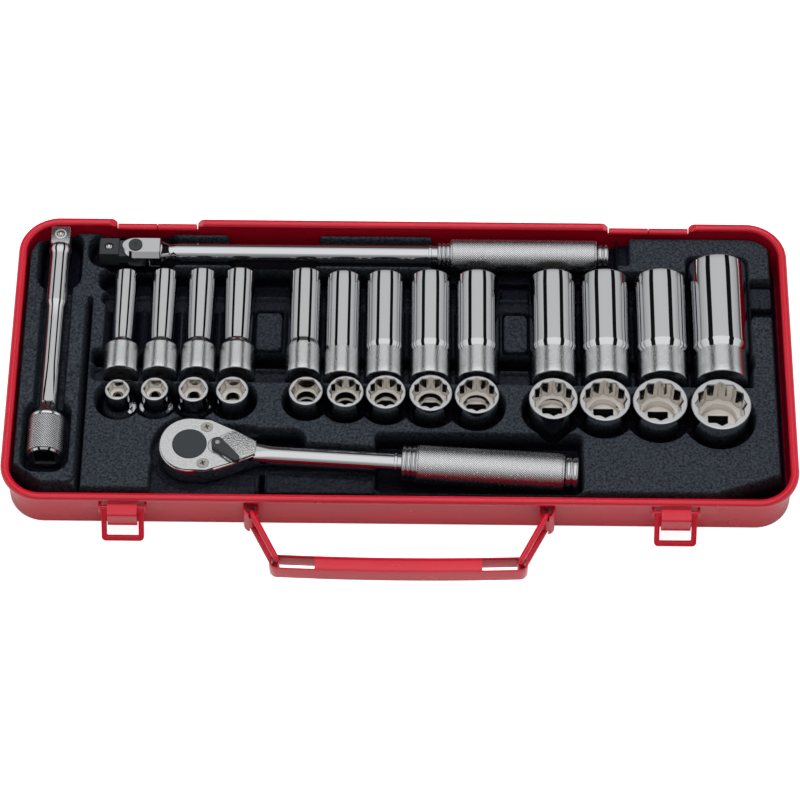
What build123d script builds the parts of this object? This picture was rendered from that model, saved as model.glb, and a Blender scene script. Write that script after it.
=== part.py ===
"""Socket wrench set in a pressed-steel case.

Frame: millimetres, X along the length of the case (right is +X), Y towards the
hinge side, Z up. The origin is the centre of the case's flat bottom face.
"""
from build123d import *
import math
import os

# ---------------------------------------------------------------- driving sizes
# Case shell: sheet steel pan with a rolled rim.
rim_length = 378.0
rim_depth = 162.6
rim_top = 26.0
rim_corner_radius = 20.0
bead_radius = 2.1
rim_overhang = 2.6
sheet = 1.0

# Lid hinge halves on the rear wall.
hinge_offset = 121.5
hinge_leaf_length = 39.0
hinge_leaf_drop = 12.0
hinge_leaf_thickness = 1.0
hinge_barrel_radius = 1.8
hinge_bore_radius = 1.0
hinge_barrel_height = 22.3
notch_chamfer = 3.6
notch_clearance = 0.4

# Tray insert: thin plastic forming with raised lands and pockets.
tray_gap = 0.6
tray_top = 19.0
tray_skin = 1.0
pocket_floor = 2.1
left_land_rise = 3.0
left_land_length = 30.0
left_land_depth = 104.0
left_land_middle = -16.0
trench_width = 7.5
tool_clearance = 0.6
socket_pocket_clearance = 2.0

# Drive squares (3/8 inch drive).
drive_square = 9.5
drive_square_hole = 9.75
ball_radius = 2.0
ball_proud = 0.9
ball_bore_radius = 2.05
spring_radius = 1.5
spring_wire = 0.35
spring_turns = 4

# Sockets: size, nose diameter, drive-end diameter, points, and the place of the
# standing socket (x, y) and of the lying deep socket (x).
socket_table = [
    (8, 11.9, 17.0, 6, -135.7, -20.7, -135.7),
    (9, 13.2, 17.0, 6, -117.9, -20.2, -116.8),
    (10, 14.4, 17.0, 6, -99.3, -20.1, -98.4),
    (11, 15.6, 17.0, 6, -80.7, -20.4, -79.8),
    (12, 16.4, 17.0, 6, -45.4, -20.4, -47.5),
    (13, 17.7, 17.2, 12, -26.5, -21.2, -28.7),
    (14, 19.2, 18.0, 12, -7.1, -21.2, -8.3),
    (15, 20.6, 19.0, 12, 14.4, -22.1, 14.0),
    (16, 21.3, 19.6, 12, 36.5, -22.9, 36.9),
    (17, 23.4, 21.4, 12, 73.0, -24.6, 74.0),
    (18, 24.4, 22.0, 12, 97.7, -24.9, 99.4),
    (19, 26.2, 23.4, 12, 123.9, -26.2, 126.6),
    (21, 28.6, 25.4, 12, 152.8, -28.2, 155.0),
]
standing_lengths = {8: 25, 9: 25, 10: 25, 11: 25, 12: 25, 13: 26, 14: 26, 15: 27,
                    16: 27, 17: 27, 18: 27, 19: 28, 21: 29}
deep_length = 59.0
deep_length_largest = 67.0
deep_axis_height = 16.7
small_front_end = -6.0
large_front_end = -7.8
smallest_large_size = 13
largest_size = 21
standing_drive_band = 10.0
deep_drive_band = 15.0
flare_length = 4.0
standing_broach_depth = 10.0
deep_broach_depth = 14.0
lead_depth = 1.2
drive_hole_depth = 10.5
broach_allowance = 0.15
six_point_hole_ratio = 0.8
twelve_point_hole_ratio = 0.9
edge_chamfer = 0.5

# Extension bar.
extension_x = -168.9
extension_rear_end = 76.4
extension_height = 20.5
extension_square_length = 9.9
extension_collar_length = 4.9
extension_collar_radius = 5.6
extension_neck_length = 31.0
extension_neck_radius = 5.2
extension_shank_radius = 4.5
extension_length = 132.0
extension_socket_radius = 8.75
extension_socket_length = 21.4
extension_flare = 4.0

# Hinge handle (flex handle).
flex_pin_x = -131.7
flex_y = 65.6
flex_height = 18.5
flex_head_reach = 18.0
flex_square_shoulder = 8.3
fork_width = 12.8
fork_height = 12.0
fork_end_radius = 7.4
fork_length = 12.0
tongue_thickness = 6.0
tongue_radius = 5.8
fork_slot_clearance = 0.05
flex_pin_radius = 3.45
pin_running_clearance = 0.05
flex_shank_radius = 4.5
flex_grip_start = 149.3
flex_grip_end = 233.3
flex_grip_collar = 5.9
flex_grip_radius = 7.9
flex_collar_radius = 6.4

# Ratchet.
ratchet_x = -100.0
ratchet_y = -49.0
ratchet_base = 12.4
ratchet_turn = -3.3
head_radius = 14.2
head_thickness = 10.0
cover_thickness = 1.5
head_floor = 2.0
gear_radius = 10.0
gear_teeth = 36
gear_tooth_depth = 0.8
gear_cavity_clearance = 0.5
gear_journal_radius = 8.0
gear_square_length = 10.0
lever_pivot = 13.5
lever_reach = 13.8
lever_rest_angle = -39.0
lever_hub_radius = 3.0
lever_tip_radius = 1.7
lever_thickness = 2.6
lever_shaft_radius = 2.2
pawl_body_radius = 3.2
pawl_rest_angle = -12.0
pawl_gap_under = 0.2
pawl_thickness = 6.4
pawl_pocket_radius = 7.4
pawl_pocket_end = 17.1
notch_radius = 4.6
tail_gap = 0.2
notch_reach = 20.0
notch_half_width = 9.2
neck_tip = 31.5
screw_x = 7.3
screw_y = 10.1
screw_head_radius = 2.8
screw_thread_radius = 1.1
screw_length = 6.0
detent_radius = 1.2
detent_travel = 0.4
ratchet_shank_radius = 4.6
ratchet_grip_start = 101.5
ratchet_grip_end = 185.0
ratchet_grip_collar = 6.5
ratchet_grip_radius = 9.2
ratchet_collar_radius = 8.7

# Latches on the front wall.
latch_offset = 130.3
latch_pad_length = 39.0
latch_pad_bottom = 15.0
latch_pad_top = 21.6
latch_pin_radius = 1.0
latch_pin_out = 3.6
latch_pin_height = 20.2
latch_ear_gap = 0.3
latch_lever_width = 20.0
latch_lever_length = 18.4
latch_lever_thickness = 3.0
latch_window_width = 15.0
latch_crossbar = 2.6
latch_hub_radius = 1.9
latch_rest_angle = 37.7
latch_claw_width = 14.0
latch_trunnion_radius = 1.0
latch_trunnion_reach = 4.6
latch_claw_sheet = 1.0

# Carrying handle on the front wall.
handle_offset = 70.0
strap_inner_radius = 2.3
strap_sheet = 1.2
strap_bottom = 5.5
strap_top = 20.5
strap_axis_out = 4.2
link_wire_radius = 1.4
link_lower_height = 6.8
link_upper_height = 19.2
link_run_x = 13.0
link_run_y = 25.8
grip_half_length = 60.6
grip_bottom = 8.6
grip_top = 17.4
grip_depth = 7.6
grip_sheet = 0.8
grip_channel_offset = 1.17
grip_slot_end = 39.2

# ---------------------------------------------------------------- derived sizes
wall_length = rim_length - 2 * rim_overhang
wall_depth = rim_depth - 2 * rim_overhang
wall_corner_radius = rim_corner_radius - rim_overhang
front_wall = -wall_depth / 2
rear_wall = wall_depth / 2
inner_length = wall_length - 2 * sheet
inner_depth = wall_depth - 2 * sheet
inner_corner_radius = wall_corner_radius - sheet
tray_length = inner_length - 2 * tray_gap
tray_depth = inner_depth - 2 * tray_gap
tray_corner_radius = inner_corner_radius - tray_gap
tray_bottom = sheet


# ---------------------------------------------------------------- small helpers
def rod_x(radius, start, end, y=0.0, z=0.0):
    """A solid cylinder along X from start to end."""
    return Pos((start + end) / 2, y, z) * Rot(0, 90, 0) * Cylinder(radius, end - start)


def rod_y(radius, start, end, x=0.0, z=0.0):
    """A solid cylinder along Y from start to end."""
    return Pos(x, (start + end) / 2, z) * Rot(90, 0, 0) * Cylinder(radius, end - start)


def rod_z(radius, start, end, x=0.0, y=0.0):
    """A solid cylinder along Z from start to end."""
    return Pos(x, y, (start + end) / 2) * Cylinder(radius, end - start)


def block(x0, x1, y0, y1, z0, z1):
    """A box given by its six faces."""
    centre = Pos((x0 + x1) / 2, (y0 + y1) / 2, (z0 + z1) / 2)
    return centre * Box(x1 - x0, y1 - y0, z1 - z0)


def turned(points):
    """A turned solid about Z from (radius, height) points."""
    outline = Polyline(*[(r, 0, z) for r, z in points], close=True)
    return revolve(make_face(outline), Axis.Z)


def slab(sketch, bottom, top):
    """A flat sketch raised from bottom to top."""
    return extrude(Pos(0, 0, bottom) * sketch, top - bottom, dir=(0, 0, 1))


def coil(radius, wire, height, turns, bottom):
    """A compression spring about Z standing on bottom."""
    path = Helix(pitch=(height - wire) / turns, height=height - wire, radius=radius)
    start = path @ 0
    section = Plane(origin=start, z_dir=path % 0) * Circle(wire / 2)
    return Pos(0, 0, bottom + wire / 2) * sweep(section, path=path)


def sectioned(solid, x_cuts, y_cuts, reach):
    """The same piece stored as touching solids, divided at upright planes."""
    xs = [-reach, *x_cuts, reach]
    ys = [-reach, *y_cuts, reach]
    sections = []
    for x0, x1 in zip(xs, xs[1:]):
        for y0, y1 in zip(ys, ys[1:]):
            part = solid & block(x0, x1, y0, y1, -reach, reach)
            sections.extend(part.solids())
    return Compound(children=sections)


# ---------------------------------------------------------------- case
def make_case_body():
    outer = slab(RectangleRounded(wall_length, wall_depth, wall_corner_radius), 0,
                 rim_top - bead_radius)
    inner = slab(RectangleRounded(inner_length, inner_depth, inner_corner_radius), sheet,
                 rim_top)
    bead_outline = RectangleRounded(rim_length - 2 * bead_radius,
                                    rim_depth - 2 * bead_radius,
                                    rim_corner_radius - bead_radius)
    bead_path = (Pos(0, 0, rim_top - bead_radius) * bead_outline).face().outer_wire()
    start = Plane(origin=bead_path @ 0, z_dir=bead_path % 0)
    bead = sweep(start * Circle(bead_radius), path=bead_path)
    shell = (outer - inner) + bead
    half = hinge_leaf_length / 2 + notch_clearance
    low = hinge_barrel_height - hinge_barrel_radius - notch_clearance
    for side in (-1, 1):
        outline = Polyline((-half - notch_chamfer, rim_top + 1), (-half, hinge_barrel_height),
                           (-half, low), (half, low), (half, hinge_barrel_height),
                           (half + notch_chamfer, rim_top + 1), close=True)
        face = make_face(Plane.XZ * outline)
        cutter = extrude(face, (rim_depth - inner_depth), both=True)
        shell -= Pos(side * hinge_offset, rear_wall, 0) * cutter
    notch_ends = [side * hinge_offset + end * half for side in (-1, 1) for end in (-1, 1)]
    return sectioned(shell, notch_ends, [], rim_length)


def make_hinge_leaves():
    half = hinge_leaf_length / 2
    leaf_out = rear_wall + hinge_leaf_thickness
    barrel_y = leaf_out - hinge_barrel_radius
    leaves = []
    for side in (-1, 1):
        plate = block(-half, half, rear_wall, leaf_out,
                      hinge_barrel_height - hinge_barrel_radius - hinge_leaf_drop,
                      hinge_barrel_height)
        barrel = rod_x(hinge_barrel_radius, -half, half, barrel_y, hinge_barrel_height)
        bore = rod_x(hinge_bore_radius, -half, half, barrel_y, hinge_barrel_height)
        leaves.append(Pos(side * hinge_offset, 0, 0) * (plate + barrel - bore))
    return Compound(children=leaves)


# ---------------------------------------------------------------- tray insert
def standing_radius(nose, drive):
    return max(nose, drive) / 2


def front_end(size):
    return small_front_end if size < smallest_large_size else large_front_end


def lying_length(size):
    return deep_length_largest if size == largest_size else deep_length


# Tool pockets: centre x, centre y, length, width, corner radius, floor height, turn.
extension_channel_floor = extension_height - extension_neck_radius - tool_clearance
flex_channel_floor = flex_height - flex_shank_radius - tool_clearance
ratchet_channel_floor = min(ratchet_base, ratchet_base + head_thickness / 2
                            - ratchet_shank_radius) - tool_clearance
tool_pockets = [
    (extension_x, 5.0, 15.0, 90.0, 3.0, extension_channel_floor, 0),
    (extension_x, 59.5, 21.0, 35.6, 10.0, 5.0, 0),
    (extension_x, -43.5, 23.0, 40.0, 9.0, extension_height - extension_socket_radius - 1.0, 0),
    (flex_pin_x - 1.5, flex_y + 0.9, 46.0, 20.6, 9.5, 6.0, 0),
    (-56.0, flex_y + 0.9, 150.0, 16.0, 2.0, flex_channel_floor, 0),
    (-64.0, flex_y + 1.4, 46.0, 20.0, 5.0, 4.0, 0),
    (60.0, flex_y - 0.4, 92.0, 22.8, 3.0, flex_height - flex_grip_radius - 1.0, 0),
    (ratchet_x, ratchet_y, 38.0, 38.0, 18.9, ratchet_base - 0.3, 0),
    (ratchet_x + 14.0, ratchet_y - 0.8, 30.0, 34.0, 8.0, ratchet_base - 0.3, ratchet_turn),
    (ratchet_x + 48.0, ratchet_y - 2.8, 84.0, 17.0, 4.0, ratchet_channel_floor, ratchet_turn),
    (-60.5, -43.0, 31.0, 15.0, 7.4, 5.0, 0),
    (37.5, -54.5, 98.0, 33.0, 4.0, 6.0, 0),
]
# Troughs of the lying sockets: first and last row of the table, rear margin.
trough_groups = [(0, 3), (4, 8), (9, 12)]
trough_side = 4.6
trough_rear = 56.5
trough_rear_largest = 64.5
rear_recess_front = 41.5
rib_front = 34.0
block_front = 9.0
slot_front = -1.0
front_strip_end = -11.0
rib_height = 12.0
front_strip_height = 12.0


def pocket_sketch(pocket, grow=0.0):
    x, y, length, width, corner, _, turn = pocket
    shape = RectangleRounded(length + 2 * grow, width + 2 * grow, corner + grow)
    return Pos(x, y) * Rot(0, 0, turn) * shape


def trough_box(group, y0, y1, grow=0.0):
    first = socket_table[group[0]]
    last = socket_table[group[1]]
    x0 = first[6] - standing_radius(first[1], first[2]) - trough_side - grow
    x1 = last[6] + standing_radius(last[1], last[2]) + trough_side + grow
    centre = Pos((x0 + x1) / 2, (y0 + y1) / 2)
    return centre * Rectangle(x1 - x0, y1 - y0 + 2 * grow)


def standing_pockets(grow=0.0):
    shapes = []
    for size, nose, drive, points, x, y, deep_x in socket_table:
        radius = standing_radius(nose, drive) + socket_pocket_clearance + grow
        shapes.append(Pos(x, y) * Circle(radius))
    return shapes


def make_tray_insert():
    base = RectangleRounded(tray_length, tray_depth, tray_corner_radius)
    tray = slab(base, tray_bottom, tray_top)
    left_land = Pos(extension_x - 0.5, left_land_middle) * RectangleRounded(
        left_land_length, left_land_depth, 6.0)
    tray += slab(left_land, tray_top - 1, tray_top + left_land_rise)
    trench_y = -tray_depth / 2 + trench_width / 2
    trench = Pos(0, trench_y) * Rectangle(tray_length + 2, trench_width)
    high = tray_top + left_land_rise + 1
    cuts = [slab(trench, pocket_floor + 1, high)]
    for pocket in tool_pockets:
        cuts.append(slab(pocket_sketch(pocket), pocket[5], high))
    square_well = Pos(ratchet_x, ratchet_y) * Circle(drive_square * 0.75 + 1.5)
    cuts.append(slab(square_well, tray_bottom + tray_skin / 2, ratchet_base))
    for group in trough_groups:
        cuts.append(slab(trough_box(group, rear_recess_front, trough_rear), 4.0, high))
        cuts.append(slab(trough_box(group, rib_front, rear_recess_front), rib_height, high))
        cuts.append(slab(trough_box(group, slot_front, block_front), 4.0, high))
        cuts.append(slab(trough_box(group, front_strip_end, slot_front),
                         front_strip_height, high))
    for size, nose, drive, points, x, y, deep_x in socket_table:
        wide = standing_radius(nose, drive) + tool_clearance
        narrow = nose / 2 + tool_clearance
        front = front_end(size) - 1.5
        rear = front_end(size) + lying_length(size) + 3.0
        for radius, y0, y1 in ((wide, front, rib_front), (narrow, rib_front - 1, rear)):
            cuts.append(rod_y(radius, y0, y1, deep_x, deep_axis_height))
            cuts.append(block(deep_x - radius, deep_x + radius, y0, y1,
                              deep_axis_height, high))
    for shape in standing_pockets():
        cuts.append(slab(shape, pocket_floor, high))
    tray -= cuts
    # Hollow underside: the forming is a skin over air wherever no pocket reaches down.
    inset = RectangleRounded(tray_length - 2 * tray_skin, tray_depth - 2 * tray_skin,
                             tray_corner_radius - tray_skin)
    hollow = inset - Pos(0, trench_y) * Rectangle(tray_length + 2, trench_width + 2 * tray_skin)
    for pocket in tool_pockets:
        hollow -= pocket_sketch(pocket, tray_skin)
    for group in trough_groups:
        hollow -= trough_box(group, front_strip_end, trough_rear, tray_skin)
    largest = socket_table[-1]
    hollow -= Pos(largest[6], trough_rear) * Rectangle(
        largest[1] + 2 * tool_clearance + 2 * tray_skin, 2 * (trough_rear_largest - trough_rear))
    for shape in standing_pockets(tray_skin):
        hollow -= shape
    underside = slab(hollow, tray_bottom, tray_top - tray_skin)
    places = [row[4] for row in socket_table]
    between = [(a + b) / 2 for a, b in zip(places, places[1:])]
    left_edge = extension_x + left_land_length / 2
    return sectioned(tray - underside, [left_edge, *between], [front_strip_end, rib_front],
                     rim_length)


# ---------------------------------------------------------------- sockets
def make_socket(size, nose, drive, points, length, drive_band):
    """A socket standing on its drive end: square hole below, broached mouth on top."""
    nose_radius = nose / 2
    drive_radius = drive / 2
    flare_top = drive_band + flare_length
    profile = [
        (0, 0),
        (drive_radius - edge_chamfer, 0),
        (drive_radius, edge_chamfer),
        (drive_radius, drive_band),
        (nose_radius, flare_top),
        (nose_radius, length - edge_chamfer),
        (nose_radius - edge_chamfer, length),
        (0, length),
    ]
    body = turned(profile)
    apothem = (size + broach_allowance) / 2
    hexagon = RegularPolygon(apothem, 6, major_radius=False)
    broach = hexagon
    if points == 12:
        broach = hexagon + Rot(0, 0, 30) * hexagon
    depth = standing_broach_depth if drive_band == standing_drive_band else deep_broach_depth
    mouth = slab(broach, length - depth, length)
    lead = turned([(0, length), (0, length - lead_depth), (apothem, length - lead_depth),
                   (apothem / math.cos(math.pi / 6) + 0.2, length)])
    hole_ratio = six_point_hole_ratio if points == 6 else twelve_point_hole_ratio
    relief_radius = apothem * hole_ratio
    relief = rod_z(relief_radius, drive_hole_depth, length - depth)
    square = slab(Rectangle(drive_square_hole, drive_square_hole), 0, drive_hole_depth)
    return body - [mouth, lead, relief, square]


def make_standing_socket(row):
    size, nose, drive, points, x, y, _ = row
    socket = make_socket(size, nose, drive, points, standing_lengths[size],
                         standing_drive_band)
    return Pos(x, y, pocket_floor) * socket


def make_deep_socket(row):
    size, nose, drive, points, _, _, x = row
    socket = make_socket(size, nose, drive, points, lying_length(size), deep_drive_band)
    return Pos(x, front_end(size), deep_axis_height) * Rot(-90, 0, 0) * socket


# ---------------------------------------------------------------- extension bar
ball_seat_depth = 2 * ball_radius + 2.0


def drive_ball_bore(top):
    """Bore for the spring-loaded ball, open at the square's upper face."""
    return rod_z(ball_bore_radius, top - ball_seat_depth, top + 1)


def make_drive_ball(top):
    return Pos(0, 0, top + ball_proud - ball_radius) * Sphere(ball_radius)


def make_ball_spring(top, pressed=0.0):
    """The ball's spring, shorter by the given amount than the room behind the ball."""
    bottom = top - ball_seat_depth
    height = top + ball_proud - 2 * ball_radius - bottom - 0.02 - pressed
    return coil(spring_radius - spring_wire / 2, spring_wire, height, spring_turns, bottom)


extension_ball_y = extension_rear_end - extension_square_length / 2
extension_square_top = extension_height + drive_square / 2


def make_extension_bar():
    """Built along +Z from the square's end face, then laid down towards the front."""
    shank_start = extension_square_length + extension_collar_length + extension_neck_length
    socket_start = extension_length - extension_socket_length
    collar_start = extension_square_length
    collar_end = collar_start + extension_collar_length
    profile = [
        (0, collar_start),
        (extension_neck_radius, collar_start),
        (extension_collar_radius, collar_start + 1.5),
        (extension_collar_radius, collar_end - 1.5),
        (extension_neck_radius, collar_end),
        (extension_neck_radius, shank_start - 2),
        (extension_shank_radius, shank_start + 1),
        (extension_shank_radius, socket_start - extension_flare),
        (extension_shank_radius + 1.5, socket_start - 1.5),
        (extension_socket_radius - 1.0, socket_start),
        (extension_socket_radius, socket_start + 1.0),
        (extension_socket_radius, extension_length - edge_chamfer),
        (extension_socket_radius - edge_chamfer, extension_length),
        (0, extension_length),
    ]
    bar = turned(profile)
    square = slab(Rectangle(drive_square, drive_square), 0, collar_start + 1)
    square = chamfer(square.faces().sort_by(Axis.Z)[0].edges(), 0.7)
    hole = slab(Rectangle(drive_square_hole, drive_square_hole),
                extension_length - drive_hole_depth, extension_length)
    bar = bar + square - hole
    laid = Pos(extension_x, extension_rear_end, extension_height) * Rot(90, 0, 0) * bar
    return laid - Pos(extension_x, extension_ball_y) * drive_ball_bore(extension_square_top)


def make_extension_ball():
    return Pos(extension_x, extension_ball_y) * make_drive_ball(extension_square_top)


def make_extension_ball_spring():
    return Pos(extension_x, extension_ball_y) * make_ball_spring(extension_square_top)


# ---------------------------------------------------------------- hinge handle
flex_place = Pos(flex_pin_x, flex_y, flex_height)
flex_ball_x = -(flex_square_shoulder + flex_head_reach) / 2
flex_square_top = drive_square / 2


def ringed_collar(radius, start, end, rings):
    """A collar turned into half-round rings side by side."""
    pitch = (end - start) / rings
    collar = rod_x(radius - pitch * 0.3, start, end)
    for index in range(rings):
        middle = start + pitch * (index + 0.5)
        collar += rod_x(radius, middle - pitch * 0.36, middle + pitch * 0.36)
    return collar


def make_knurled_grip(start, end, collar, radius, collar_radius, bore_radius):
    """Grip sleeve with ringed collars, closed at its far end."""
    front = ringed_collar(collar_radius, start, start + collar, 3)
    rear = ringed_collar(collar_radius - 0.6, end - collar, end, 2)
    barrel = rod_x(radius, start + collar, end - collar)
    barrel = chamfer(barrel.edges().filter_by(GeomType.CIRCLE), edge_chamfer)
    bore = rod_x(bore_radius, start, end - collar)
    return front + barrel + rear - bore


def make_hinge_handle_shank():
    half_width = fork_width / 2
    half_height = fork_height / 2
    plan = Circle(half_width) + Pos(fork_length / 2, 0) * Rectangle(fork_length, fork_width)
    fork = slab(plan, -half_height, half_height)
    taper = Pos(fork_length, 0, 0) * Rot(0, 90, 0) * turned([
        (0, 0), (half_height, 0), (flex_shank_radius, 7.0), (0, 7.0)])
    shank = rod_x(flex_shank_radius, fork_length, flex_grip_end - flex_grip_collar)
    slot_half = tongue_thickness / 2 + fork_slot_clearance
    slot = block(-fork_end_radius - 1, tongue_radius + 1.0, -half_width - 1, half_width + 1,
                 -slot_half, slot_half)
    pin_hole = rod_z(flex_pin_radius, -half_height, half_height)
    return flex_place * (fork + taper + shank - slot - pin_hole)


def make_hinge_handle_head():
    half = tongue_thickness / 2
    tongue = slab(Circle(tongue_radius), -half, half)
    bridge = block(-flex_square_shoulder - 1, 0, -drive_square / 2, drive_square / 2,
                   -half, half)
    square = block(-flex_head_reach, -flex_square_shoulder, -drive_square / 2,
                   drive_square / 2, -drive_square / 2, drive_square / 2)
    square = chamfer(square.faces().sort_by(Axis.X)[0].edges(), 0.7)
    hole = rod_z(flex_pin_radius + pin_running_clearance, -half, half)
    head = tongue + bridge + square - hole
    return flex_place * (head - Pos(flex_ball_x, 0) * drive_ball_bore(flex_square_top))


def make_hinge_handle_pin():
    half = fork_height / 2
    pin = rod_z(flex_pin_radius, -half, half)
    return flex_place * (pin - Pos(0, 0, half) * Cone(0.1, 0.9, 1.2))


def make_hinge_handle_grip():
    return flex_place * make_knurled_grip(flex_grip_start, flex_grip_end, flex_grip_collar,
                                          flex_grip_radius, flex_collar_radius,
                                          flex_shank_radius)


def make_hinge_handle_ball():
    return flex_place * Pos(flex_ball_x, 0) * make_drive_ball(flex_square_top)


def make_hinge_handle_ball_spring():
    return flex_place * Pos(flex_ball_x, 0) * make_ball_spring(flex_square_top)


# ---------------------------------------------------------------- ratchet
ratchet_place = Pos(ratchet_x, ratchet_y, ratchet_base) * Rot(0, 0, ratchet_turn)
head_top = head_thickness + cover_thickness
shank_height = head_thickness / 2


def head_slab(bottom, top):
    """The pear-shaped head between two heights: a disc and its tapering neck."""
    flank = Polygon((0, head_radius), (9.0, head_radius - 0.3), (notch_reach, notch_half_width),
                    (neck_tip, 3.4), (neck_tip, -3.4), (notch_reach, -notch_half_width),
                    (9.0, -head_radius + 0.3), (0, -head_radius), align=None)
    return slab(Circle(head_radius), bottom, top) + slab(flank, bottom, top)


def tail_slab(radius, bottom, top):
    """The V-shaped tail of the head, around the lever's pivot, that the cover leaves."""
    reach = neck_tip - lever_pivot + 5
    slope = (notch_half_width - radius) / (notch_reach - lever_pivot)
    wedge = Polygon((0, radius), (reach, radius + slope * reach),
                    (reach, -radius - slope * reach), (0, -radius), align=None)
    return Pos(lever_pivot, 0, 0) * (slab(Circle(radius), bottom, top) + slab(wedge, bottom, top))


def make_ratchet_body():
    head = head_slab(0, head_thickness)
    head += head_slab(head_thickness, head_top) & tail_slab(notch_radius - tail_gap,
                                                            head_thickness, head_top)
    head += rod_x(ratchet_shank_radius, notch_reach + 2,
                  ratchet_grip_end - ratchet_grip_collar, 0, shank_height)
    cavity = slab(Circle(gear_radius + gear_cavity_clearance), head_floor, head_thickness)
    pocket = slab(Pos(lever_pivot, 0) * Circle(pawl_pocket_radius), head_floor,
                  head_floor + pawl_thickness + 2 * pawl_gap_under)
    pocket -= block(pawl_pocket_end, notch_reach + 10, -20, 20, -1, head_top)
    journal = rod_z(gear_journal_radius + pin_running_clearance, 0, head_floor)
    shaft = rod_z(lever_shaft_radius + pin_running_clearance, head_floor, head_top, lever_pivot)
    detent = rod_x(detent_radius + pin_running_clearance, pawl_pocket_end - 1,
                   pawl_pocket_end + 9, 0, shank_height)
    holes = [rod_z(screw_thread_radius, head_thickness - screw_length, head_thickness,
                   screw_x, side * screw_y) for side in (-1, 1)]
    return ratchet_place * (head - [cavity, pocket, journal, shaft, detent] - holes)


def make_ratchet_cover():
    plate = head_slab(head_thickness, head_top) - tail_slab(notch_radius, head_thickness - 1,
                                                            head_top + 1)
    window = rod_z(gear_journal_radius + pin_running_clearance, head_thickness, head_top)
    for side in (-1, 1):
        place = Pos(screw_x, side * screw_y, head_thickness)
        plate -= place * turned([(0, 0), (screw_thread_radius, 0),
                                 (screw_head_radius, cover_thickness), (0, cover_thickness)])
    return ratchet_place * (plate - window)


def make_cover_screws():
    screws = []
    for side in (-1, 1):
        head = turned([(0, 0), (screw_thread_radius, 0), (screw_head_radius, cover_thickness),
                       (0, cover_thickness)])
        shaft = rod_z(screw_thread_radius, -screw_length + 0.5, 0)
        cross = slab(Rectangle(2.6, 0.6) + Rectangle(0.6, 2.6), cover_thickness - 0.8,
                     cover_thickness)
        place = ratchet_place * Pos(screw_x, side * screw_y, head_thickness)
        screws.append(place * (head + shaft - Rot(0, 0, 25) * cross))
    return Compound(children=screws)


def make_ratchet_gear():
    points = []
    for index in range(2 * gear_teeth):
        radius = gear_radius - gear_tooth_depth * (index % 2)
        angle = math.pi * index / gear_teeth
        points.append((radius * math.cos(angle), radius * math.sin(angle)))
    wheel = slab(Polygon(*points, align=None), head_floor + 0.1, head_thickness - 0.1)
    journal = rod_z(gear_journal_radius, 0, head_top + 0.2)
    square = slab(Rectangle(drive_square, drive_square), -gear_square_length, 1)
    square = chamfer(square.faces().sort_by(Axis.Z)[0].edges(), 0.7)
    bore = Pos(0, 0, ratchet_ball_height) * Rot(0, 90, 0) * drive_ball_bore(drive_square / 2)
    return ratchet_place * (wheel + journal + square - bore)


ratchet_ball_height = -gear_square_length / 2


def make_ratchet_ball():
    turn = Pos(0, 0, ratchet_ball_height) * Rot(0, 90, 0)
    return ratchet_place * turn * make_drive_ball(drive_square / 2)


def make_ratchet_ball_spring():
    turn = Pos(0, 0, ratchet_ball_height) * Rot(0, 90, 0)
    return ratchet_place * turn * make_ball_spring(drive_square / 2, ball_proud)


def make_ratchet_lever():
    tip = Pos(lever_reach - lever_tip_radius, 0)
    wedge = make_hull(Sketch(children=[Circle(lever_hub_radius),
                                       tip * Circle(lever_tip_radius)]).edges())
    bottom = head_top + 0.2
    arm = slab(wedge, bottom, bottom + lever_thickness)
    pawl_top = head_floor + pawl_gap_under + pawl_thickness
    shaft = rod_z(lever_shaft_radius, pawl_top, bottom)
    key = slab(Rectangle(1.6, 3.2), pawl_top - 3.0, pawl_top)
    turn = Pos(lever_pivot, 0) * Rot(0, 0, lever_rest_angle)
    return ratchet_place * turn * (arm + shaft + key)


def make_ratchet_pawl():
    """Two-armed rocking pawl on the lever's shaft, clear of the gear's teeth."""
    arms = Polygon((-3.2, 6.0), (-2.0, 6.6), (1.6, 3.0), (1.6, -3.0), (-2.0, -6.6),
                   (-3.2, -6.0), (-2.8, -3.0), (-2.8, 3.0), align=None)
    bottom = head_floor + pawl_gap_under
    top = bottom + pawl_thickness
    hollow = slab(Pos(-lever_pivot, 0) * Circle(lever_pivot - 2.8), bottom, top)
    pawl = slab(Circle(pawl_body_radius), bottom, top) + slab(arms, bottom, top) - hollow
    slot = rod_z(2.0, top - 3.2, top + 1)
    turn = Pos(lever_pivot, 0) * Rot(0, 0, pawl_rest_angle)
    return ratchet_place * turn * (pawl - slot)


detent_x = lever_pivot + pawl_body_radius + detent_radius + 0.1


def make_ratchet_detent():
    return ratchet_place * Pos(detent_x, 0, shank_height) * Sphere(detent_radius)


def make_ratchet_detent_spring():
    start = detent_x + detent_radius + detent_travel
    spring = coil(detent_radius - 0.3, 0.3, pawl_pocket_end + 9 - start, 6, 0)
    return ratchet_place * Pos(start, 0, shank_height) * Rot(0, 90, 0) * spring


def make_ratchet_grip():
    grip = make_knurled_grip(ratchet_grip_start, ratchet_grip_end, ratchet_grip_collar,
                             ratchet_grip_radius, ratchet_collar_radius,
                             ratchet_shank_radius)
    return ratchet_place * Pos(0, 0, shank_height) * grip


# ---------------------------------------------------------------- latches
latch_pin_y = front_wall - latch_pin_out


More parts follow.
